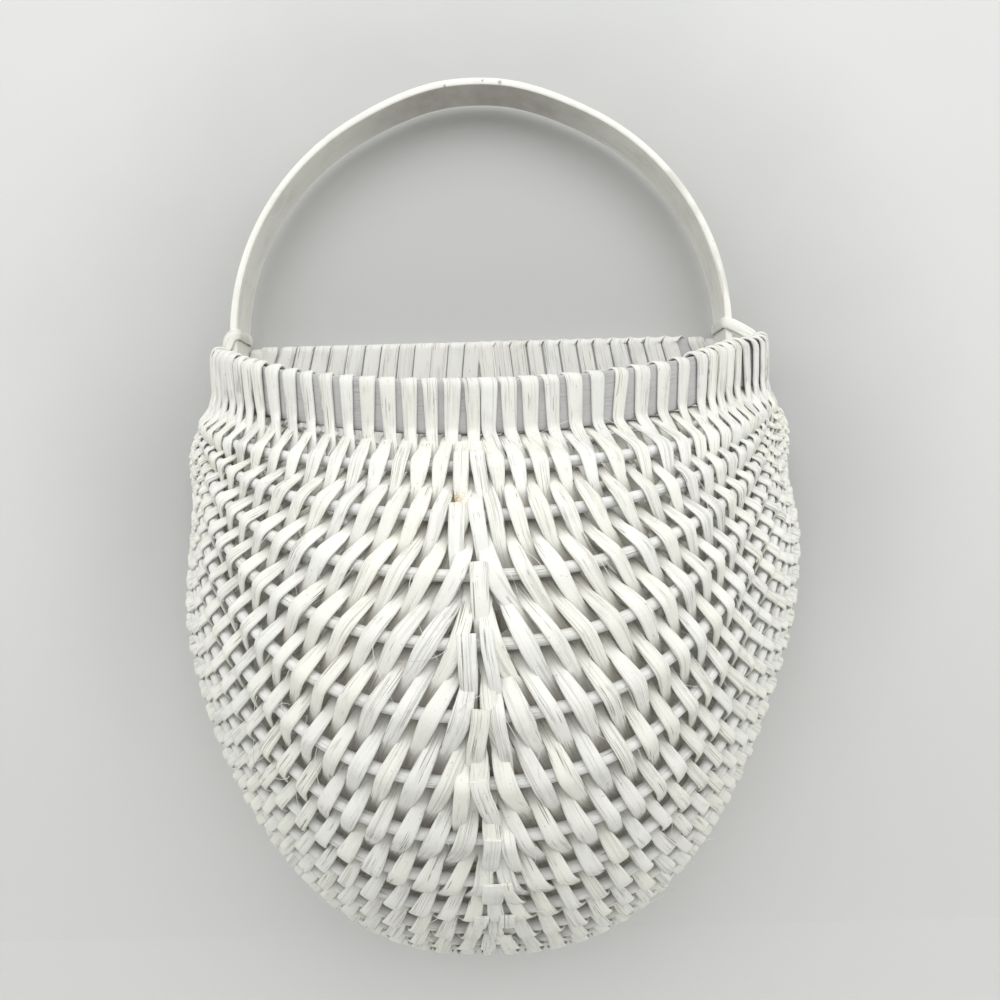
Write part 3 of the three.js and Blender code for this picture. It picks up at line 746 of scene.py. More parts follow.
def rim_wraps(weave, side):
    """Turns over the rim, each joining the two rows of a pair."""
    strands = []
    for pair in range(weave.rim_pairs()):
        first, second = 2 * pair, 2 * pair + 1
        front = first if weave.is_over(first, 0, side) else second
        outer, inner = weave.rim_legs(first, side)
        path, face = over_rim(weave, outer, inner - outer, side)
        out_from_middle = weave.rim_pairs() - 1 - pair
        wide = 1.1 + 0.25 * smooth(out_from_middle, 8, 11)
        wide += 0.35 * smooth(out_from_middle * side, 12, 15)
        strands.append(wrap_strand(weave, path, face, front, side, pair, wide))
    return strands


def wrap_strand(weave, path, face, front, side, pair, wide):
    """Bring the outer leg of a wrap down behind the first rib."""
    low, out, reach = weave.crossing(front, 1, side)
    low = low - out * (reach + weave.thick / 2 + 0.1)
    path = np.concatenate([[low - [0, 0, 6.0]], [low], path])
    face = np.concatenate([[out], [out], face])
    n = len(path)
    strip = weave.half * (1 + 0.06 * weave.rng.normal())
    half = np.interp(np.arange(n), [0, 1, 2, 5, 7, n - 1],
                     strip * np.array([0.66, 0.7, 0.86, 1.05, wide, wide]))
    round_up = smooth(wide, 1.1, 1.35)
    path[3:] += face[3:] * 0.35 * round_up
    return flowing(path, face, half, 0.2 + 0.5 * round_up, weave.thick / 2 + 0.35 * round_up,
                   (pair * TONE_STEP + 0.11 + 0.2 * side) % 1, 1.6, 2)


def rib_guides(weave):
    """Round rods from ear to ear: front ribs, then back ribs."""
    strands = []
    mirror = np.array([-1, 1, 1])
    ribs = [q for q in range(1, LAST_COURSE + 1) if q != HOOP_COURSE]
    for q in ribs:
        course = weave.courses[q]
        run = np.linspace(2, course.length, 90)
        line = read_off(course.points, course.run, run)
        out = read_off(course.out, course.run, run)
        reach = np.interp(run, course.run, course.reach)
        path = np.concatenate([line[:-1], (line * mirror)[::-1]])
        face = np.concatenate([out[:-1], (out * mirror)[::-1]])
        radius = np.concatenate([reach[:-1], reach[::-1]])
        radius = radius * (1 + 0.02 * np.sin(np.linspace(0, 40 + q, len(radius)) + q))
        one = framed(path, unit(face), radius, 1.0, 0.0, q * 0.137 % 1)
        one["thick"] = radius
        strands.append(one)
    return strands


def rail_wraps(weave, side):
    """Turns round the straight rail at the back, each joining two rows."""
    strands = []
    rows = [r for r in weave.rows_on(LAST_COURSE) if weave.from_centre(r, LAST_COURSE) < 117]
    proud = RAIL_THICK / 2 + weave.thick / 2 + 0.1
    wall = min(RAIL_Y + proud, -weave.thick / 2 - GAP)
    for pair in range(-2, max(rows) // 2 + 1):
        first, second = 2 * pair, 2 * pair + 1
        ends = []
        if pair < 0:
            middle = side * (116.8 if pair == -1 else 122.6)
            x_front, x_back = middle + side * 1.5, middle - side * 1.5
            ends = [(x_front, RAIL_Y - proud, -27), (x_back, wall, -27)]
        elif second not in rows or first not in rows:
            continue
        else:
            front, back = (first, second) if weave.is_over(first, LAST_COURSE, side) else (second, first)
            x_front, x_back = [weave.from_centre(r, LAST_COURSE) * side * 0.97 for r in (front, back)]
            middle = (x_front + x_back) / 2
            x_front, x_back = middle + (x_front - middle) * 0.8, middle + (x_back - middle) * 0.8
            for row in (front, back):
                point, out, reach = weave.crossing(row, LAST_COURSE, side)
                sign = 1 if row == front else -1
                ends.append(point + out * sign * (reach + weave.thick / 2))
        heights = (-26, -21, -12, -4, -1.4)
        lean = side * (0.1 + 0.22 * (middle / 115) ** 2)
        x_top = x_front - lean * 9
        path = [ends[0] - np.array([0, 0, 2])]
        path += [(x_front - lean * (z + 11) * (0.3 if z < -22 else 1), RAIL_Y - proud, z) for z in heights]
        face = [(0, -1, 0)] * len(path)
        for angle in (30, 60, 90, 120, 150):
            turn = math.radians(angle)
            share = angle / 180
            path.append((x_top + (x_back - x_top) * share * share * (3 - 2 * share),
                         RAIL_Y - proud * math.cos(turn),
                         -1.4 + (1.4 + weave.thick / 2 + 0.1) * math.sin(turn)))
            face.append((0, -math.cos(turn), math.sin(turn)))
        path += [(x_back, wall, z) for z in reversed(heights)] + [ends[1] - np.array([0, 0, 2])]
        face += [(0, 1, 0)] * (len(heights) + 1)
        path, face = np.array(path), np.array(face, float)
        path[:, 1] = np.minimum(path[:, 1], -weave.thick / 2 - GAP)
        strip = 4.35 * (1 + 0.05 * weave.rng.normal())
        half = np.full(len(path), strip)
        half[0] = half[-1] = 0.55 * strip
        path, face, half, cup = resample(path, face, half, np.full(len(path), 0.15), 1.6)
        strands.append(framed(path, unit(face), half, weave.thick / 2, cup,
                              (pair * TONE_STEP + 0.23 + (0.4 if side > 0 else 0)) % 1))
    return strands


# Each tab: rib, place across the middle, drift on the way down, half width, rise above the rib
TABS = (
    (1, -6.8, 0.0, 3.0, 8.0), (1, -0.8, 2.6, 2.9, 8.0), (2, -8.0, -0.6, 3.0, 3.0),
    (2, -1.4, 3.0, 2.9, 7.5), (3, -0.4, 0.6, 3.2, 3.6), (4, -4.8, 0.6, 3.3, 3.6),
    (4, 2.0, 3.4, 2.4, 7.0), (5, -0.6, -3.8, 3.1, 3.8), (5, 5.0, 3.4, 2.4, 6.0),
    (6, -1.6, 5.6, 3.2, 3.8), (6, -7.4, -2.6, 2.8, 5.0), (7, 2.0, -2.2, 3.1, 3.6),
    (7, 7.4, 3.6, 2.6, 5.0), (8, 1.6, -1.0, 4.0, 3.2), (8, 6.4, 6.0, 2.4, 3.6),
    (9, 6.4, -0.6, 3.2, 3.0), (9, -3.4, -2.6, 2.8, 2.4), (10, 4.8, -1.6, 3.2, 2.6))


def centre_tabs(weave):
    """Reed ends laid flat over a rib at the middle and tucked behind the next one."""
    strands = []
    for number, (rib, x, drift, half, above) in enumerate(TABS):
        here, there = weave.courses[rib], weave.courses[rib + 1]
        start, out, reach = here.at(here.length)
        end, out_end, reach_end = there.at(there.length)
        start, end = start * [0, 1, 1], end * [0, 1, 1]
        out, out_end = unit(out * [0, 1, 1]), unit(out_end * [0, 1, 1])
        down = unit(end - start)
        gap = np.linalg.norm(end - start)
        proud = reach + weave.thick / 2
        steps = [(proud + 0.75, -above, -0.06), (proud + 1.5, -0.4 * above, 0.0)]
        if above > 4.5:
            steps = [(-2.6, -above - 7.0, -0.4), (-0.6, -above - 1.0, -0.2),
                     (proud + 1.1, -0.4 * above, 0.0)]
        steps += [(proud + 1.7, 0.6, 0.05), (proud + 1.5, 0.16 * gap, 0.2), (proud + 1.0, 0.4 * gap, 0.5),
                  (1.2, 0.7 * gap, 0.8)]
        path = [start + out * n + down * w + [x + drift * t, 0, 0] for n, w, t in steps]
        face = [out] * len(steps)
        below = end - out_end * (reach_end + weave.thick / 2)
        path += [below + [x + drift, 0, 0], below + down * 5 + [x + drift, 0, 0]]
        face += [out_end, out_end]
        n = len(path)
        width = np.interp(np.arange(n), [0, 4, n - 3, n - 1], half * np.array([1.0, 1.0, 0.85, 0.6]))
        strands.append(flowing(path, face, width, 0.15, weave.thick / 2, 0.13 * number % 1, 1.3, 2))
    return strands


FIBRES, FIBRE_POINTS, FIBRE_HALF = 120, 14, 0.14


def loose_fibres(weave):
    """Hair-thin fibres that stand off the split reed here and there."""
    strands = []
    rng = np.random.default_rng(weave.rng.integers(1 << 30))
    for _ in range(FIBRES):
        side = 1 if rng.random() < 0.5 else -1
        q = int(rng.integers(1, 12))
        rows = [r for r in weave.rows_on(q) if weave.from_centre(r, q) < 120]
        row = int(rng.choice(rows))
        point, out, reach = weave.crossing(row, q, side)
        other, _, _ = weave.crossing(row, q + 1, side)
        way = unit(other - point) * (1 if rng.random() < 0.7 else -1)
        across = unit(np.cross(way, out))
        length, bend, lift = rng.uniform(6, 20), rng.normal() * 0.04, rng.uniform(0.4, 3.5)
        t = np.linspace(0, 1, FIBRE_POINTS)[:, None]
        start = point + out * (reach + weave.thick + 0.1) + across * rng.uniform(-2.6, 2.6)
        path = (start + way * t * length + across * bend * (t * length) ** 2
                + out * lift * t**2 - np.array([0, 0, 1.0]) * 0.8 * t**2)
        face = np.tile(out, (FIBRE_POINTS, 1))
        one = framed(path, face, FIBRE_HALF, FIBRE_HALF, 0.0, rng.random())
        taper = 1 - 0.6 * t[:, 0]
        one["half"], one["thick"] = one["half"] * taper, one["thick"] * taper
        strands.append(one)
    return strands


def splint(path, across, face, half, thick, tone):
    """A guide for a flat piece of even size."""
    return {"path": path, "across": unit(across), "face": unit(face), "half": np.full(len(path), half),
            "thick": np.full(len(path), thick), "cup": np.full(len(path), 0.0), "tone": tone}


def hoop_guide():
    """The bent hoop from the bottom, up one side, over the handle and down the other side."""
    straight = ARCH_Z - BOWL_Z
    bend = HOOP_MID * math.pi / 2
    run = np.linspace(0.3, 4 * bend + 2 * straight - 0.3, 420)
    points, outs = [], []
    for d in run:
        side = 1 if d < 2 * bend + straight else -1
        own = d if side > 0 else 4 * bend + 2 * straight - d
        if own < bend:
            a = math.pi - own / HOOP_MID
            out, z = (math.sin(a), 0, math.cos(a)), BOWL_Z
        elif own < bend + straight:
            out, z = (1, 0, 0), BOWL_Z + own - bend
        else:
            a = math.pi / 2 - (own - bend - straight) / HOOP_MID
            out, z = (math.sin(a), 0, math.cos(a)), ARCH_Z
        points.append((side * out[0] * HOOP_MID, HOOP_BACK - HOOP_DEPTH / 2, z + out[2] * HOOP_MID))
        outs.append((side * out[0], 0, out[2]))
    points, outs = np.array(points), np.array(outs, float)
    aside = np.abs(points[:, 0] + PEAK_ASIDE)
    points[:, 2] += ARCH_PEAK * (points[:, 2] > 0) * (1 - smooth(aside, PEAK_HALF, PEAK_END))
    across = np.tile([0.0, 1.0, 0.0], (len(run), 1))
    guide = splint(points, across, outs, HOOP_DEPTH / 2, HOOP_THICK / 2, 0.2)
    guide["half"] = guide["half"] + 0.12 * np.sin(run / 23) - 0.12
    guide["thick"] = guide["thick"] + 0.06 * np.sin(run / 31 + 1) - 0.06
    return still(guide)


def rim_guide():
    """The rim's splint from the wall round the front and back to the wall."""
    phi = np.linspace(-math.pi / 2, math.pi / 2, 221)
    top, out, up = rim_line(phi)
    back = np.array([[RIM_HALF, y, 0] for y in np.linspace(HOOP_BACK - 1, HOOP_FRONT - 0.5, 12)])
    ends = np.tile([1.0, 0, 0], (12, 1))
    top = np.concatenate([back * [-1, 1, 1], top, back[::-1]])
    out = np.concatenate([-ends, out, ends])
    up = np.concatenate([np.tile([0, 0, 1.0], (12, 1)), up, np.tile([0, 0, 1.0], (12, 1))])
    sign = np.sign(np.sum(out * top, axis=1))[:, None]
    return splint(top - up * RIM_HEIGHT / 2, up, out * sign, RIM_HEIGHT / 2, RIM_THICK / 2, 0.5)


def rail_guide():
    """The straight splint across the back of the mouth."""
    x = np.linspace(-124, 124, 60)
    path = np.stack([x, np.full(60, RAIL_Y), np.full(60, -RIM_HEIGHT / 2)], -1)
    return splint(path, np.tile([0, 0, 1.0], (60, 1)), np.tile([0, -1.0, 0], (60, 1)),
                  RIM_HEIGHT / 2, RAIL_THICK / 2, 0.8)


def lashing_guide(weave, side):
    """A reed taken once round the foot of the handle and down over the rim's end."""
    x0, x1 = HOOP_IN - 0.8, HOOP_OUT + 0.8
    y0, y1 = HOOP_FRONT - 0.8, HOOP_BACK + 0.8
    corners = [(RIM_HALF + 3.2, y0 + 9, -14), (RIM_HALF + 3.0, y0 + 5, -4), (x1 + 0.6, y0 + 1.0, 1.0),
               (x1 - 1.5, y0, 2.8), (x0, y0 + 0.3, 4.2), (x0 - 0.1, y0 + 6, 4.4), (x0 - 0.1, y1 - 5, 4.6),
               (x0 + 0.6, y1, 4.6), (x1 - 0.6, y1, 4.8), (x1 + 0.1, y1 - 4, 5.0), (x1 + 0.3, y0 + 9, 5.0)]
    faces = [(1, -0.2, 0), (1, -0.6, 0.2), (0.4, -1, 0.1), (0, -1, 0), (-0.5, -1, 0), (-1, 0, 0),
             (-1, 0, 0), (-0.5, 1, 0), (0.5, 1, 0), (1, 0, 0), (1, 0, 0)]
    mirror = np.array([side, 1, 1])
    half = np.interp(np.arange(len(corners)), [0, 2, 4], [4.0, 3.4, 2.8])
    path = np.array(corners) * mirror
    path[:3] = ear_shape(path[:3])
    tone = 0.3 + 0.3 * side
    return still(flowing(path, np.array(faces) * mirror, half, 0.35, weave.thick / 2, tone, 1.2))


def ear_coil(weave, side):
    """Reed wound round the leg of the hoop below the rim, which binds the ribs' ends to it."""
    lift = weave.thick / 2 + 0.15
    x0, x1 = HOOP_IN - lift, HOOP_OUT + lift
    y0, y1 = HOOP_FRONT - lift, min(HOOP_BACK + lift, -weave.thick / 2 - GAP)
    turn = [(x1, -9, 1, 0), (x1, y1 - 1, 1, 0), (x1 - 1, y1, 0, 1), (x0 + 1, y1, 0, 1),
            (x0, y1 - 1, -1, 0), (x0, -9, -1, 0), (x0, y0 + 1, -1, 0), (x0 + 1, y0, 0, -1),
            (x1 - 1, y0, 0, -1), (x1, y0 + 1, 1, 0)]
    turns, high, low = 5, -28.5, -61.5
    path, face = [], []
    for k in range(turns * len(turn)):
        x, y, fx, fy = turn[k % len(turn)]
        path.append((x * side, y, high + (low - high) * k / (turns * len(turn) - 1)))
        face.append((fx * side, fy, 0))
    return still(flowing(path, face, 3.1, 0.2, weave.thick / 2, 0.55 + 0.2 * side, 0.9, 1))


def ear_rows(weave, side):
    """The first turns round the ear, laid over the ends of all the ribs."""
    strands = []
    mirror = np.array([side, 1, 1])
    top = rim_half()[0]
    rim_run = lengths_of(top)
    for k, (run, half) in enumerate(((2.2, 2.3), (6.2, 2.5), (10.4, 2.4))):
        d = rim_run[-1] - 20 - 1.15 * run
        at_rim = read_off(top, rim_run, d)
        path = [at_rim + [-1.0, 0, 5 - RIM_HEIGHT - 6], at_rim + [0.5, 0, -RIM_HEIGHT - 2.5]]
        face = [(1, -0.5, 0)] * 2
        for q in (1, 3, 5, 7, 9, 11, 13):
            point, out, reach = weave.courses[q].at(run)
            path.append(point + out * (reach + weave.thick / 2 + 0.35 + 0.5 * (k % 2)))
            face.append(out)
        last = path[-1]
        path += [(last[0] - 1.5, -6, last[2] - 2.5), (HOOP_OUT + 1.6, -1.6, last[2] - 4),
                 (HOOP_OUT - 3, -1.1, last[2] - 5)]
        face += [(1, 0.2, 0), (0.8, 0.8, 0), (0, 1, 0)]
        strands.append(flowing(np.array(path) * mirror, np.array(face) * mirror, half, 0.25,
                               weave.thick / 2, (0.21 * k + 0.1 * side) % 1, 1.0))
    return strands


# Materials

def new_group(name, inputs, outputs):
    """An empty shader group with named sockets."""
    tree = bpy.data.node_groups.new(name, "ShaderNodeTree")
    for label, kind, value in inputs:
        socket = tree.interface.new_socket(label, in_out="INPUT", socket_type=kind)
        socket.default_value = value
    for label, kind in outputs:
        tree.interface.new_socket(label, in_out="OUTPUT", socket_type=kind)
    return tree


class Wiring:
    """Short ways to add shader nodes to one tree."""

    def __init__(self, tree):
        self.tree = tree

    def add(self, kind, **settings):
        """A new node with its settings."""
        node = self.tree.nodes.new(kind)
        for key, value in settings.items():
            setattr(node, key, value)
        return node

    def put(self, value, socket):
        """A link or a plain value into a socket."""
        if hasattr(value, "is_output"):
            self.tree.links.new(value, socket)
        elif value is not None:
            socket.default_value = value

    def math(self, operation, a, b=None, clamp=False):
        """Two values worked together."""
        node = self.add("ShaderNodeMath", operation=operation, use_clamp=clamp)
        self.put(a, node.inputs[0])
        self.put(b, node.inputs[1])
        return node.outputs[0]

    def scaled(self, vector, scale):
        """A vector stretched along each axis."""
        node = self.add("ShaderNodeVectorMath", operation="MULTIPLY")
        self.put(vector, node.inputs[0])
        node.inputs[1].default_value = scale
        return node.outputs[0]

    def noise(self, vector, scale, detail=3.0, rough=0.55):
        """Even noise between 0 and 1."""
        node = self.add("ShaderNodeTexNoise")
        self.put(vector, node.inputs["Vector"])
        node.inputs["Scale"].default_value = scale
        node.inputs["Detail"].default_value = detail
        node.inputs["Roughness"].default_value = rough
        return node.outputs["Fac"]

    def step(self, value, low, high):
        """A soft step from low to high, also downwards."""
        node = self.add("ShaderNodeMapRange", interpolation_type="SMOOTHSTEP")
        self.put(value, node.inputs["Value"])
        node.inputs["From Min"].default_value = low
        node.inputs["From Max"].default_value = high
        return node.outputs["Result"]

    def mix(self, factor, a, b, blend="MIX"):
        """One colour over another."""
        node = self.add("ShaderNodeMix", data_type="RGBA", blend_type=blend)
        self.put(factor, node.inputs["Factor"])
        self.put(a, node.inputs["A"])
        self.put(b, node.inputs["B"])
        return node.outputs["Result"]


def fibre_group():
    """Long fibres of split cane along a strand: streaks, hairline cracks and their relief."""
    tree = bpy.data.node_groups.get("Cane fibres")
    if tree:
        return tree
    tree = new_group("Cane fibres", [("Crack share", "NodeSocketFloat", 0.35)],
                     [(label, "NodeSocketFloat") for label in ("Streak", "Crack", "Height", "Strand tone")])
    w = Wiring(tree)
    given, result = w.add("NodeGroupInput"), w.add("NodeGroupOutput")
    reed = w.add("ShaderNodeAttribute", attribute_name="reed").outputs["Vector"]
    streak = w.noise(w.scaled(reed, (1500, 45, 300)), 1.0, 4.0, 0.6)
    coarse = w.noise(w.scaled(reed, (520, 28, 170)), 1.0, 2.0)
    thread = w.noise(w.scaled(reed, (3300, 38, 730)), 1.0, 2.0, 0.5)
    patch = w.noise(w.scaled(reed, (160, 70, 510)), 1.0, 2.0)
    line = w.step(thread, 0.385, 0.33)
    sparse = w.math("SUBTRACT", patch, w.math("MULTIPLY", given.outputs["Crack share"], 0.3))
    crack = w.math("MULTIPLY", line, w.step(sparse, 0.42, 0.34))
    grain = w.step(w.noise(w.scaled(reed, (2300, 15, 410)), 1.0, 2.0, 0.6), 0.44, 0.37)
    grained = w.step(w.noise(w.scaled(reed, (110, 26, 260)), 1.0, 2.0), 0.57, 0.44)
    crack = w.math("MAXIMUM", crack, w.math("MULTIPLY", w.math("MULTIPLY", grain, grained), 0.38))
    height = w.math("ADD", w.math("MULTIPLY", streak, 0.6), w.math("MULTIPLY", coarse, 0.8))
    height = w.math("SUBTRACT", height, w.math("MULTIPLY", crack, 0.9))
    split = w.add("ShaderNodeSeparateXYZ")
    w.put(reed, split.inputs["Vector"])
    tone = w.add("ShaderNodeTexWhiteNoise", noise_dimensions="1D")
    w.put(w.math("MULTIPLY", split.outputs["Z"], 917.0), tone.inputs["W"])
    for label, value in (("Streak", streak), ("Crack", crack), ("Height", height),
                         ("Strand tone", tone.outputs["Value"])):
        w.put(value, result.inputs[label])
    return tree


def coat_group():
    """Hand-brushed paint: thin patches, small chips and a slightly uneven film."""
    tree = bpy.data.node_groups.get("Brushed coat")
    if tree:
        return tree
    tree = new_group("Brushed coat", [],
                     [(label, "NodeSocketFloat") for label in ("Thin", "Chip", "Film")])
    w = Wiring(tree)
    result = w.add("NodeGroupOutput")
    place = w.add("ShaderNodeTexCoord").outputs["Object"]
    thin = w.step(w.noise(place, 70, 4.0, 0.6), 0.48, 0.72)
    chip = w.step(w.noise(place, 620, 3.0, 0.6), 0.685, 0.72)
    film = w.noise(place, 900, 3.0, 0.5)
    for label, value in (("Thin", thin), ("Chip", chip), ("Film", film)):
        w.put(value, result.inputs[label])
    return tree


# Each finish: paint, the share of it left where it is thin, what lies bare (also the colour that painted
# shade darkens towards), roughness, cracks, relief
FINISHES = {
    "painted reed": ("reed_paint", 0.785, "bare_reed_and_shade", 0.62, 0.26, 0.8),
    "painted wrap": ("wrap_paint", 0.80, "bare_reed_and_shade", 0.62, 0.25, 0.6),
    "painted rail wrap": ("rail_paint", 0.78, "bare_reed_and_shade", 0.66, 0.3, 0.6),
    "painted rod": ("rod_paint", 0.815, "bare_reed_and_shade", 0.58, 0.3, 0.4),
    "painted handle": ("handle_paint", 0.82, "bare_wood_and_shade", 0.55, 0.05, 0.25),
    # The rim's dull grey is thin paint over grey wood and also painted shade for the rim seen between its
    # wraps
    "worn rim": ("rim_paint_and_shade", 0.76, "bare_wood_and_shade", 0.7, 0.6, 0.4),
}


def grip_wear_and_shade(w):
    """Paint rubbed thin by hands on the underside of the top of the handle, together with painted shade on
    the faces there that look down.
    """
    place = w.add("ShaderNodeTexCoord").outputs["Object"]
    split, facing = w.add("ShaderNodeSeparateXYZ"), w.add("ShaderNodeSeparateXYZ")
    w.put(place, split.inputs["Vector"])
    w.put(w.add("ShaderNodeNewGeometry").outputs["Normal"], facing.inputs["Vector"])
    # Faces that look down are darkened as painted shade as well as worn
    under = w.step(facing.outputs["Z"], -0.75, -0.97)
    high = w.step(split.outputs["Z"], -0.03, -0.002)
    rough = w.math("ADD", w.math("MULTIPLY", w.noise(place, 120, 4.0), 0.7), 0.28)
    return w.math("MULTIPLY", w.math("MULTIPLY", under, high), rough)


def bare_spots(w, spots):
    """Small ragged places where the bare reed or wood shows: frayed ends, and nicks in the handle."""
    place = w.add("ShaderNodeTexCoord").outputs["Object"]
    ragged = w.math("MULTIPLY", w.noise(place, 1500, 3.0), 2.0)
    seen = w.scaled(place, (1, 0.2, 1))
    bare_mix = 0.0
    for (x, y, z), radius in spots:
        away = w.add("ShaderNodeVectorMath", operation="DISTANCE")
        w.put(seen, away.inputs[0])
        away.inputs[1].default_value = (x, 0.2 * y, z)
        near = w.math("ADD", w.math("DIVIDE", away.outputs["Value"], radius), ragged)
        bare_mix = w.math("MAXIMUM", bare_mix, w.step(near, 1.75, 1.45))
    return w.math("MULTIPLY", bare_mix, BARE_SHARE)


def material_of(name):
    """A finish as a material, made once."""
    material = bpy.data.materials.get(name)
    if material:
        return material
    settings = bpy.context.scene.basket
    coated, left, under, roughness, cracks, relief = FINISHES[name]
    paint, bare_and_shade = getattr(settings, coated), getattr(settings, under)
    thin = [channel * left for channel in paint]
    material = bpy.data.materials.new(name)
    material.use_nodes = True
    w = Wiring(material.node_tree)
    shader = material.node_tree.nodes["Principled BSDF"]
    fibres, coat = w.add("ShaderNodeGroup"), w.add("ShaderNodeGroup")
    fibres.node_tree, coat.node_tree = fibre_group(), coat_group()
    fibres.inputs["Crack share"].default_value = cracks
    patchy = w.math("MULTIPLY", coat.outputs["Thin"], w.step(fibres.outputs["Streak"], 0.35, 0.7))
    tone = w.math("MULTIPLY", fibres.outputs["Strand tone"], 0.3)
    colour = w.mix(w.math("ADD", patchy, tone, clamp=True), (*paint, 1), (*thin, 1))
    tint = w.math("FRACT", w.math("MULTIPLY", fibres.outputs["Strand tone"], 7.31))
    colour = w.mix(tint, colour, w.mix(1.0, colour, (0.985, 0.995, 1.055, 1), "MULTIPLY"))
    bare_mix = w.math("MAXIMUM", fibres.outputs["Crack"], w.math("MULTIPLY", coat.outputs["Chip"], 0.55))
    # Painted shade: woven strands are darkened toward the bare colour where they pass behind a rib
    deep = w.add("ShaderNodeAttribute", attribute_name="deep").outputs["Fac"]
    patchy = w.math("ADD", w.math("MULTIPLY", fibres.outputs["Streak"], 0.6), 0.36)
    bare_mix = w.math("MAXIMUM", bare_mix, w.math("MULTIPLY", deep, patchy))
    if name == "painted handle":
        # Painted shade and grip wear under the top of the handle, and real nicks
        bare_mix = w.math("MAXIMUM", w.math("MAXIMUM", bare_mix, grip_wear_and_shade(w)), bare_spots(w, HANDLE_NICKS))
    # bare_mix holds real cracks, chips and nicks, and also painted shade behind the ribs and under the top
    # of the handle
    colour = w.mix(bare_mix, colour, (*bare_and_shade, 1))
    if name == "painted reed":
        colour = w.mix(bare_spots(w, FRAYED_ENDS), colour, (*settings.fresh_reed, 1))
    w.put(colour, shader.inputs["Base Color"])
    shader.inputs["Roughness"].default_value = roughness
    height = w.math("ADD", fibres.outputs["Height"], w.math("MULTIPLY", coat.outputs["Film"], 0.4))
    bump = w.add("ShaderNodeBump")
    bump.inputs["Strength"].default_value = relief
    bump.inputs["Distance"].default_value = 0.0004
    w.put(height, bump.inputs["Height"])
    w.put(bump.outputs["Normal"], shader.inputs["Normal"])
    return material


def wall_material():
    """Pale plaster, darker close round the basket as painted shadow, clear from behind and to the soft
    light on the side of the basket that touches it.
    """
    material = bpy.data.materials.new("wall")
    material.use_nodes = True
    w = Wiring(material.node_tree)
    shader = material.node_tree.nodes["Principled BSDF"]
    place = w.add("ShaderNodeTexCoord").outputs["Object"]
    away = w.add("ShaderNodeVectorMath", operation="DISTANCE")
    w.put(place, away.inputs[0])
    away.inputs[1].default_value = (0.0, 0.0, -0.155)
    uneven = w.math("ADD", away.outputs["Value"], w.math("MULTIPLY", w.noise(place, 6, 3.0), 0.08))
    settings = bpy.context.scene.basket
    # Painted shadow: the wall is mixed toward a darker grey close round the basket
    colour = w.mix(w.step(uneven, 0.17, 0.34), (*settings.wall_near_shade, 1), (*settings.wall_far, 1))
    w.put(colour, shader.inputs["Base Color"])
    shader.inputs["Roughness"].default_value = 0.9
    clear, both = w.add("ShaderNodeBsdfTransparent"), w.add("ShaderNodeMixShader")
    rays = w.add("ShaderNodeLightPath")
    short = w.math("LESS_THAN", rays.outputs["Ray Length"], 0.012)
    near = w.math("MULTIPLY", rays.outputs["Is Diffuse Ray"], short)
    behind = w.add("ShaderNodeNewGeometry").outputs["Backfacing"]
    w.put(w.math("MAXIMUM", behind, near), both.inputs["Fac"])
    w.put(shader.outputs["BSDF"], both.inputs[1])
    w.put(clear.outputs["BSDF"], both.inputs[2])
    w.put(both.outputs["Shader"], material.node_tree.nodes["Material Output"].inputs["Surface"])
    return material


# The stage

def backdrop_mesh():
    """One sheet: floor, curve and wall."""
    profile = [(-FLOOR_REACH, -FLOOR_DROP)]
    profile += [(-CURVE + (CURVE + WALL_BEHIND) * math.sin(t), CURVE - FLOOR_DROP - CURVE * math.cos(t))
                for t in np.linspace(0, math.pi / 2, 12)]
    profile += [(WALL_BEHIND, WALL_TOP)]
    vertices = [(x, y, z) for x in (-WALL_SIDE, WALL_SIDE) for y, z in profile]
    n = len(profile)
    mesh = bpy.data.meshes.new("backdrop")
    mesh.from_pydata(vertices, [], [(i + 1, i, n + i, n + i + 1) for i in range(n - 1)])
    return mesh


def light_room(scene):
    """Even room light, a large lamp above the front and a fill on each side."""
    world = scene.world or bpy.data.worlds.new("room")
    scene.world = world
    world.use_nodes = True
    background = world.node_tree.nodes["Background"]
    background.inputs["Color"].default_value = (1, 1, 1, 1)
    background.inputs["Strength"].default_value = ROOM_LIGHT
    for name, place, power, size in LAMPS:
        lamp = bpy.data.lights.new(name, "AREA")
        lamp.energy, lamp.size = power, size
        light = bpy.data.objects.new(name, lamp)
        light.location = place
        aim = Vector(LAMPS_LOOK_AT) - Vector(place)
        light.rotation_euler = aim.to_track_quat("-Z", "Y").to_euler()
        scene.collection.objects.link(light)


def place_camera(scene):
    """The camera that took the photograph, as fitted to its outline."""
    camera = bpy.data.objects.new("camera", bpy.data.cameras.new("camera"))
    camera.data.lens, camera.data.sensor_width, camera.data.shift_x = CAMERA_LENS, 36, CAMERA_SHIFT
    camera.matrix_world = (Matrix.Translation(CAMERA_PLACE)
                           @ Matrix.Rotation(math.radians(90), 4, "X")
                           @ Matrix.Rotation(math.radians(CAMERA_ROLL), 4, "Z"))
    scene.collection.objects.link(camera)
    scene.camera = camera


# Settings and operators

def paint_property(name, description, value):
    """A colour that the panel shows."""
    return FloatVectorProperty(name=name, description=description, default=value, subtype="COLOR",
                               size=3, min=0.0, max=1.0)


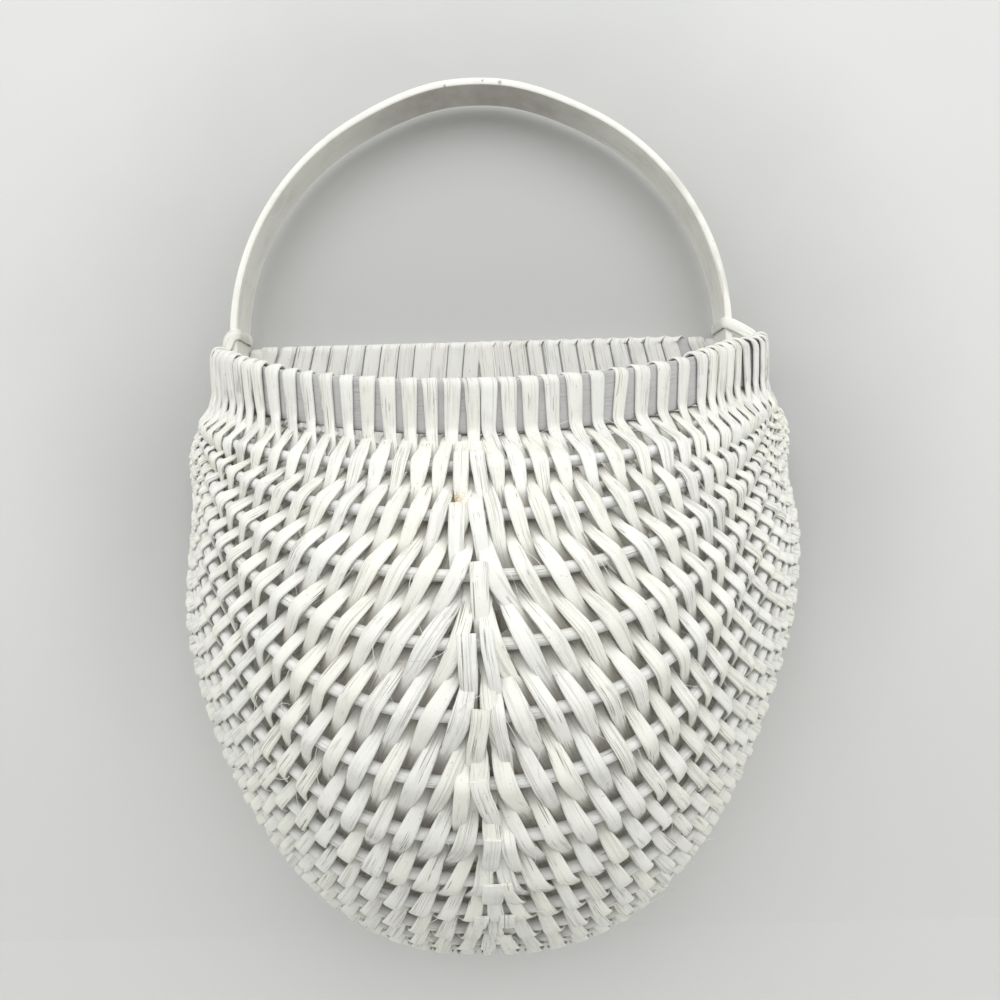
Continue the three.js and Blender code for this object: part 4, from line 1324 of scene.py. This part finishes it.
class BasketSettings(PropertyGroup):
    """Sizes and colours of the basket that a user would change."""

    reed_width: FloatProperty(name="Reed width", description="Width of the flat weaving reed",
                              default=0.0065, min=0.003, max=0.012, unit="LENGTH")
    reed_thickness: FloatProperty(name="Reed thickness", description="Thickness of the flat reed",
                                  default=0.0012, min=0.0005, max=0.003, unit="LENGTH")
    rib_diameter: FloatProperty(name="Rib diameter", description="Diameter of the round ribs",
                                default=0.0045, min=0.002, max=0.008, unit="LENGTH")
    row_pitch: FloatProperty(name="Row pitch", description="Distance between rows along a rib",
                             default=0.00535, min=0.004, max=0.01, unit="LENGTH")
    first_row: FloatProperty(name="First row", description="Distance of the first row from the ear",
                             default=0.014, min=0.0, max=0.05, unit="LENGTH")
    reed_paint: paint_property("Reed paint", "Paint of the woven flat reed", (0.80, 0.795, 0.717))
    wrap_paint: paint_property("Wrap paint", "Paint of the turns over the rim", (0.757, 0.75, 0.688))
    rail_paint: paint_property("Rail paint", "Paint of the turns over the back rail",
                               (0.73, 0.725, 0.67))
    rod_paint: paint_property("Rib paint", "Paint of the round ribs", (0.76, 0.76, 0.712))
    handle_paint: paint_property("Handle paint", "Paint of the bent hoop",
                                 (0.83, 0.825, 0.755))
    # Thin paint over grey wood, darkened further as painted shade for the rim seen between the wraps
    rim_paint_and_shade: paint_property("Rim paint", "Dull thin paint of the rim and the back rail",
                              (0.50, 0.49, 0.475))
    # Also the colour that woven strands darken toward as painted shade behind the ribs
    bare_reed_and_shade: paint_property("Bare reed", "Reed where the paint has missed or cracked",
                              (0.33, 0.30, 0.25))
    fresh_reed: paint_property("Fresh reed", "Straw-coloured reed where an end has frayed",
                               (0.56, 0.46, 0.28))
    # Also the colour of the painted shade on the downward faces under the top of the handle
    bare_wood_and_shade: paint_property("Bare wood", "Bent wood where the paint has worn away",
                              (0.36, 0.33, 0.30))
    # Painted shadow of the basket on the wall close round it
    wall_near_shade: paint_property("Wall behind", "Wall close round the basket", (0.47, 0.475, 0.465))
    wall_far: paint_property("Wall further out", "Wall away from the basket", (0.605, 0.61, 0.597))
    seed: IntProperty(name="Seed", description="Seed of the small irregularities", default=7, min=0)


class Workshop:
    """The weave is worked out once and shared by the operators."""

    weave = None

    @classmethod
    def get(cls, context):
        if cls.weave is None:
            cls.weave = Weave(context.scene.basket)
        return cls.weave


def finish_piece(piece, nodes):
    """What every piece says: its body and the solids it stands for."""
    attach(piece, "root")
    if nodes:
        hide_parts(*nodes)


class BASKET_OT_ribs(Operator):
    """Make the round ribs of the front and the back"""

    bl_idname = "basket.ribs"
    bl_label = "Ribs"

    def execute(self, context):
        guides = rib_guides(Workshop.get(context))
        piece = grow("round_ribs", guides, material_of("painted rod"), Section_points=12,
                     Corner_exponent=1.0)
        nodes = [f"front_rib_{k:02d}" for k in range(1, FRONT_RIBS + 1)]
        nodes += [f"back_rib_{j}" for j in range(1, BACK_RIBS + 1)]
        finish_piece(piece, nodes)
        return {"FINISHED"}


class BASKET_OT_weave(Operator):
    """Weave the rows over and under the ribs"""

    bl_idname = "basket.weave"
    bl_label = "Weave"

    def execute(self, context):
        weave = Workshop.get(context)
        nodes = [f"weave_front_{k:02d}" for k in range(1, FRONT_RIBS + 1)] + ["weave_turn"]
        nodes += [f"weave_back_{j}" for j in range(1, BACK_RIBS + 1)]
        reed = material_of("painted reed")
        for side, word in ((-1, "left"), (1, "right")):
            strands = weave_side(weave, side)
            middle = len(strands) // 2
            for part, own in (("outer", strands[:middle]), ("inner", strands[middle:])):
                piece = grow(f"woven_rows_{word}_{part}", own, reed, Section_points=12)
                finish_piece(piece, nodes)
                nodes = []
        return {"FINISHED"}


class BASKET_OT_ends(Operator):
    """Fold the ends down over the middle of the front and leave some fibres loose"""

    bl_idname = "basket.ends"
    bl_label = "Folded ends"

    def execute(self, context):
        weave = Workshop.get(context)
        reed = material_of("painted reed")
        piece = grow("folded_ends", centre_tabs(weave), reed, Section_points=12)
        finish_piece(piece, [])
        piece = grow("loose_fibres", loose_fibres(weave), reed, Section_points=6, Corner_exponent=1.0)
        finish_piece(piece, [])
        return {"FINISHED"}


class BASKET_OT_wraps(Operator):
    """Wrap the rim and the back rail with turns of flat reed"""

    bl_idname = "basket.wraps"
    bl_label = "Rim and rail wraps"

    def execute(self, context):
        weave = Workshop.get(context)
        strands = rim_wraps(weave, -1) + rim_wraps(weave, 1)
        piece = grow("rim_wraps", strands, material_of("painted wrap"), Section_points=12)
        finish_piece(piece, ["rim_wrap"])
        strands = rail_wraps(weave, -1) + rail_wraps(weave, 1)
        piece = grow("rail_wraps", strands, material_of("painted rail wrap"), Section_points=12)
        finish_piece(piece, ["rail_wrap"])
        return {"FINISHED"}


class BASKET_OT_ears(Operator):
    """Wind the reed at both ears: lashings round the feet, coils and short rows"""

    bl_idname = "basket.ears"
    bl_label = "Lashings and ears"

    def execute(self, context):
        weave = Workshop.get(context)
        reed = material_of("painted reed")
        strands = [lashing_guide(weave, side) for side in (-1, 1)]
        piece = grow("foot_lashings", strands, reed, Section_points=12)
        finish_piece(piece, ["lashing_left", "lashing_right"])
        strands = [ear_coil(weave, side) for side in (-1, 1)]
        piece = grow("ear_coils", strands, reed, Section_points=12)
        finish_piece(piece, ["ear_binding_left", "ear_binding_right"])
        strands = ear_rows(weave, -1) + ear_rows(weave, 1)
        piece = grow("ear_rows", strands, reed, Section_points=12)
        finish_piece(piece, ["ear_weave_left", "ear_weave_right"])
        return {"FINISHED"}


class BASKET_OT_frame(Operator):
    """Make the bent hoop, the rim splint and the back rail"""

    bl_idname = "basket.frame"
    bl_label = "Hoop and rim"

    def execute(self, context):
        for name, guide, paint, node, slot in (
                ("bent_hoop", hoop_guide(), "painted handle", "handle_hoop", "bent_handle"),
                # Rim and rail take the dull grey that is partly thin paint and partly painted shade
                ("rim_splint", rim_guide(), "worn rim", "rim_bow", "rim_splint"),
                ("rail_splint", rail_guide(), "worn rim", "back_rail", "rim_splint")):
            piece = grow(name, [guide], material_of(paint), Section_points=28, Corner_exponent=0.2)
            finish_piece(piece, [node])
        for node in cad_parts.values():
            node.data.materials.clear()
            node.data.materials.append(material_of("painted handle"))
        return {"FINISHED"}


class BASKET_OT_stage(Operator):
    """Set the wall, the floor, the lamps and the camera"""

    bl_idname = "basket.stage"
    bl_label = "Stage"

    def execute(self, context):
        keep("backdrop", backdrop_mesh(), wall_material())
        light_room(context.scene)
        place_camera(context.scene)
        context.scene.view_settings.view_transform = "Standard"
        return {"FINISHED"}


class BASKET_PT_panel(Panel):
    """Buttons for each group of pieces"""

    bl_label = "Wall basket"
    bl_idname = "BASKET_PT_panel"
    bl_space_type = "VIEW_3D"
    bl_region_type = "UI"
    bl_category = "Basket"

    def draw(self, context):
        for name in BasketSettings.__annotations__:
            self.layout.prop(context.scene.basket, name)
        for operator in OPERATORS:
            self.layout.operator(operator.bl_idname)


OPERATORS = (BASKET_OT_frame, BASKET_OT_ribs, BASKET_OT_weave, BASKET_OT_ends, BASKET_OT_wraps,
             BASKET_OT_ears, BASKET_OT_stage)
CLASSES = (BasketSettings, *OPERATORS, BASKET_PT_panel)


def register():
    """Make the classes and the settings known."""
    for one in CLASSES:
        bpy.utils.register_class(one)
    bpy.types.Scene.basket = PointerProperty(type=BasketSettings)


def unregister():
    """Take them away again."""
    del bpy.types.Scene.basket
    for one in reversed(CLASSES):
        bpy.utils.unregister_class(one)


def main():
    """Build everything in order."""
    register()
    bpy.ops.basket.frame()
    bpy.ops.basket.ribs()
    bpy.ops.basket.weave()
    bpy.ops.basket.ends()
    bpy.ops.basket.wraps()
    bpy.ops.basket.ears()
    bpy.ops.basket.stage()


if __name__ == "__main__":
    main()
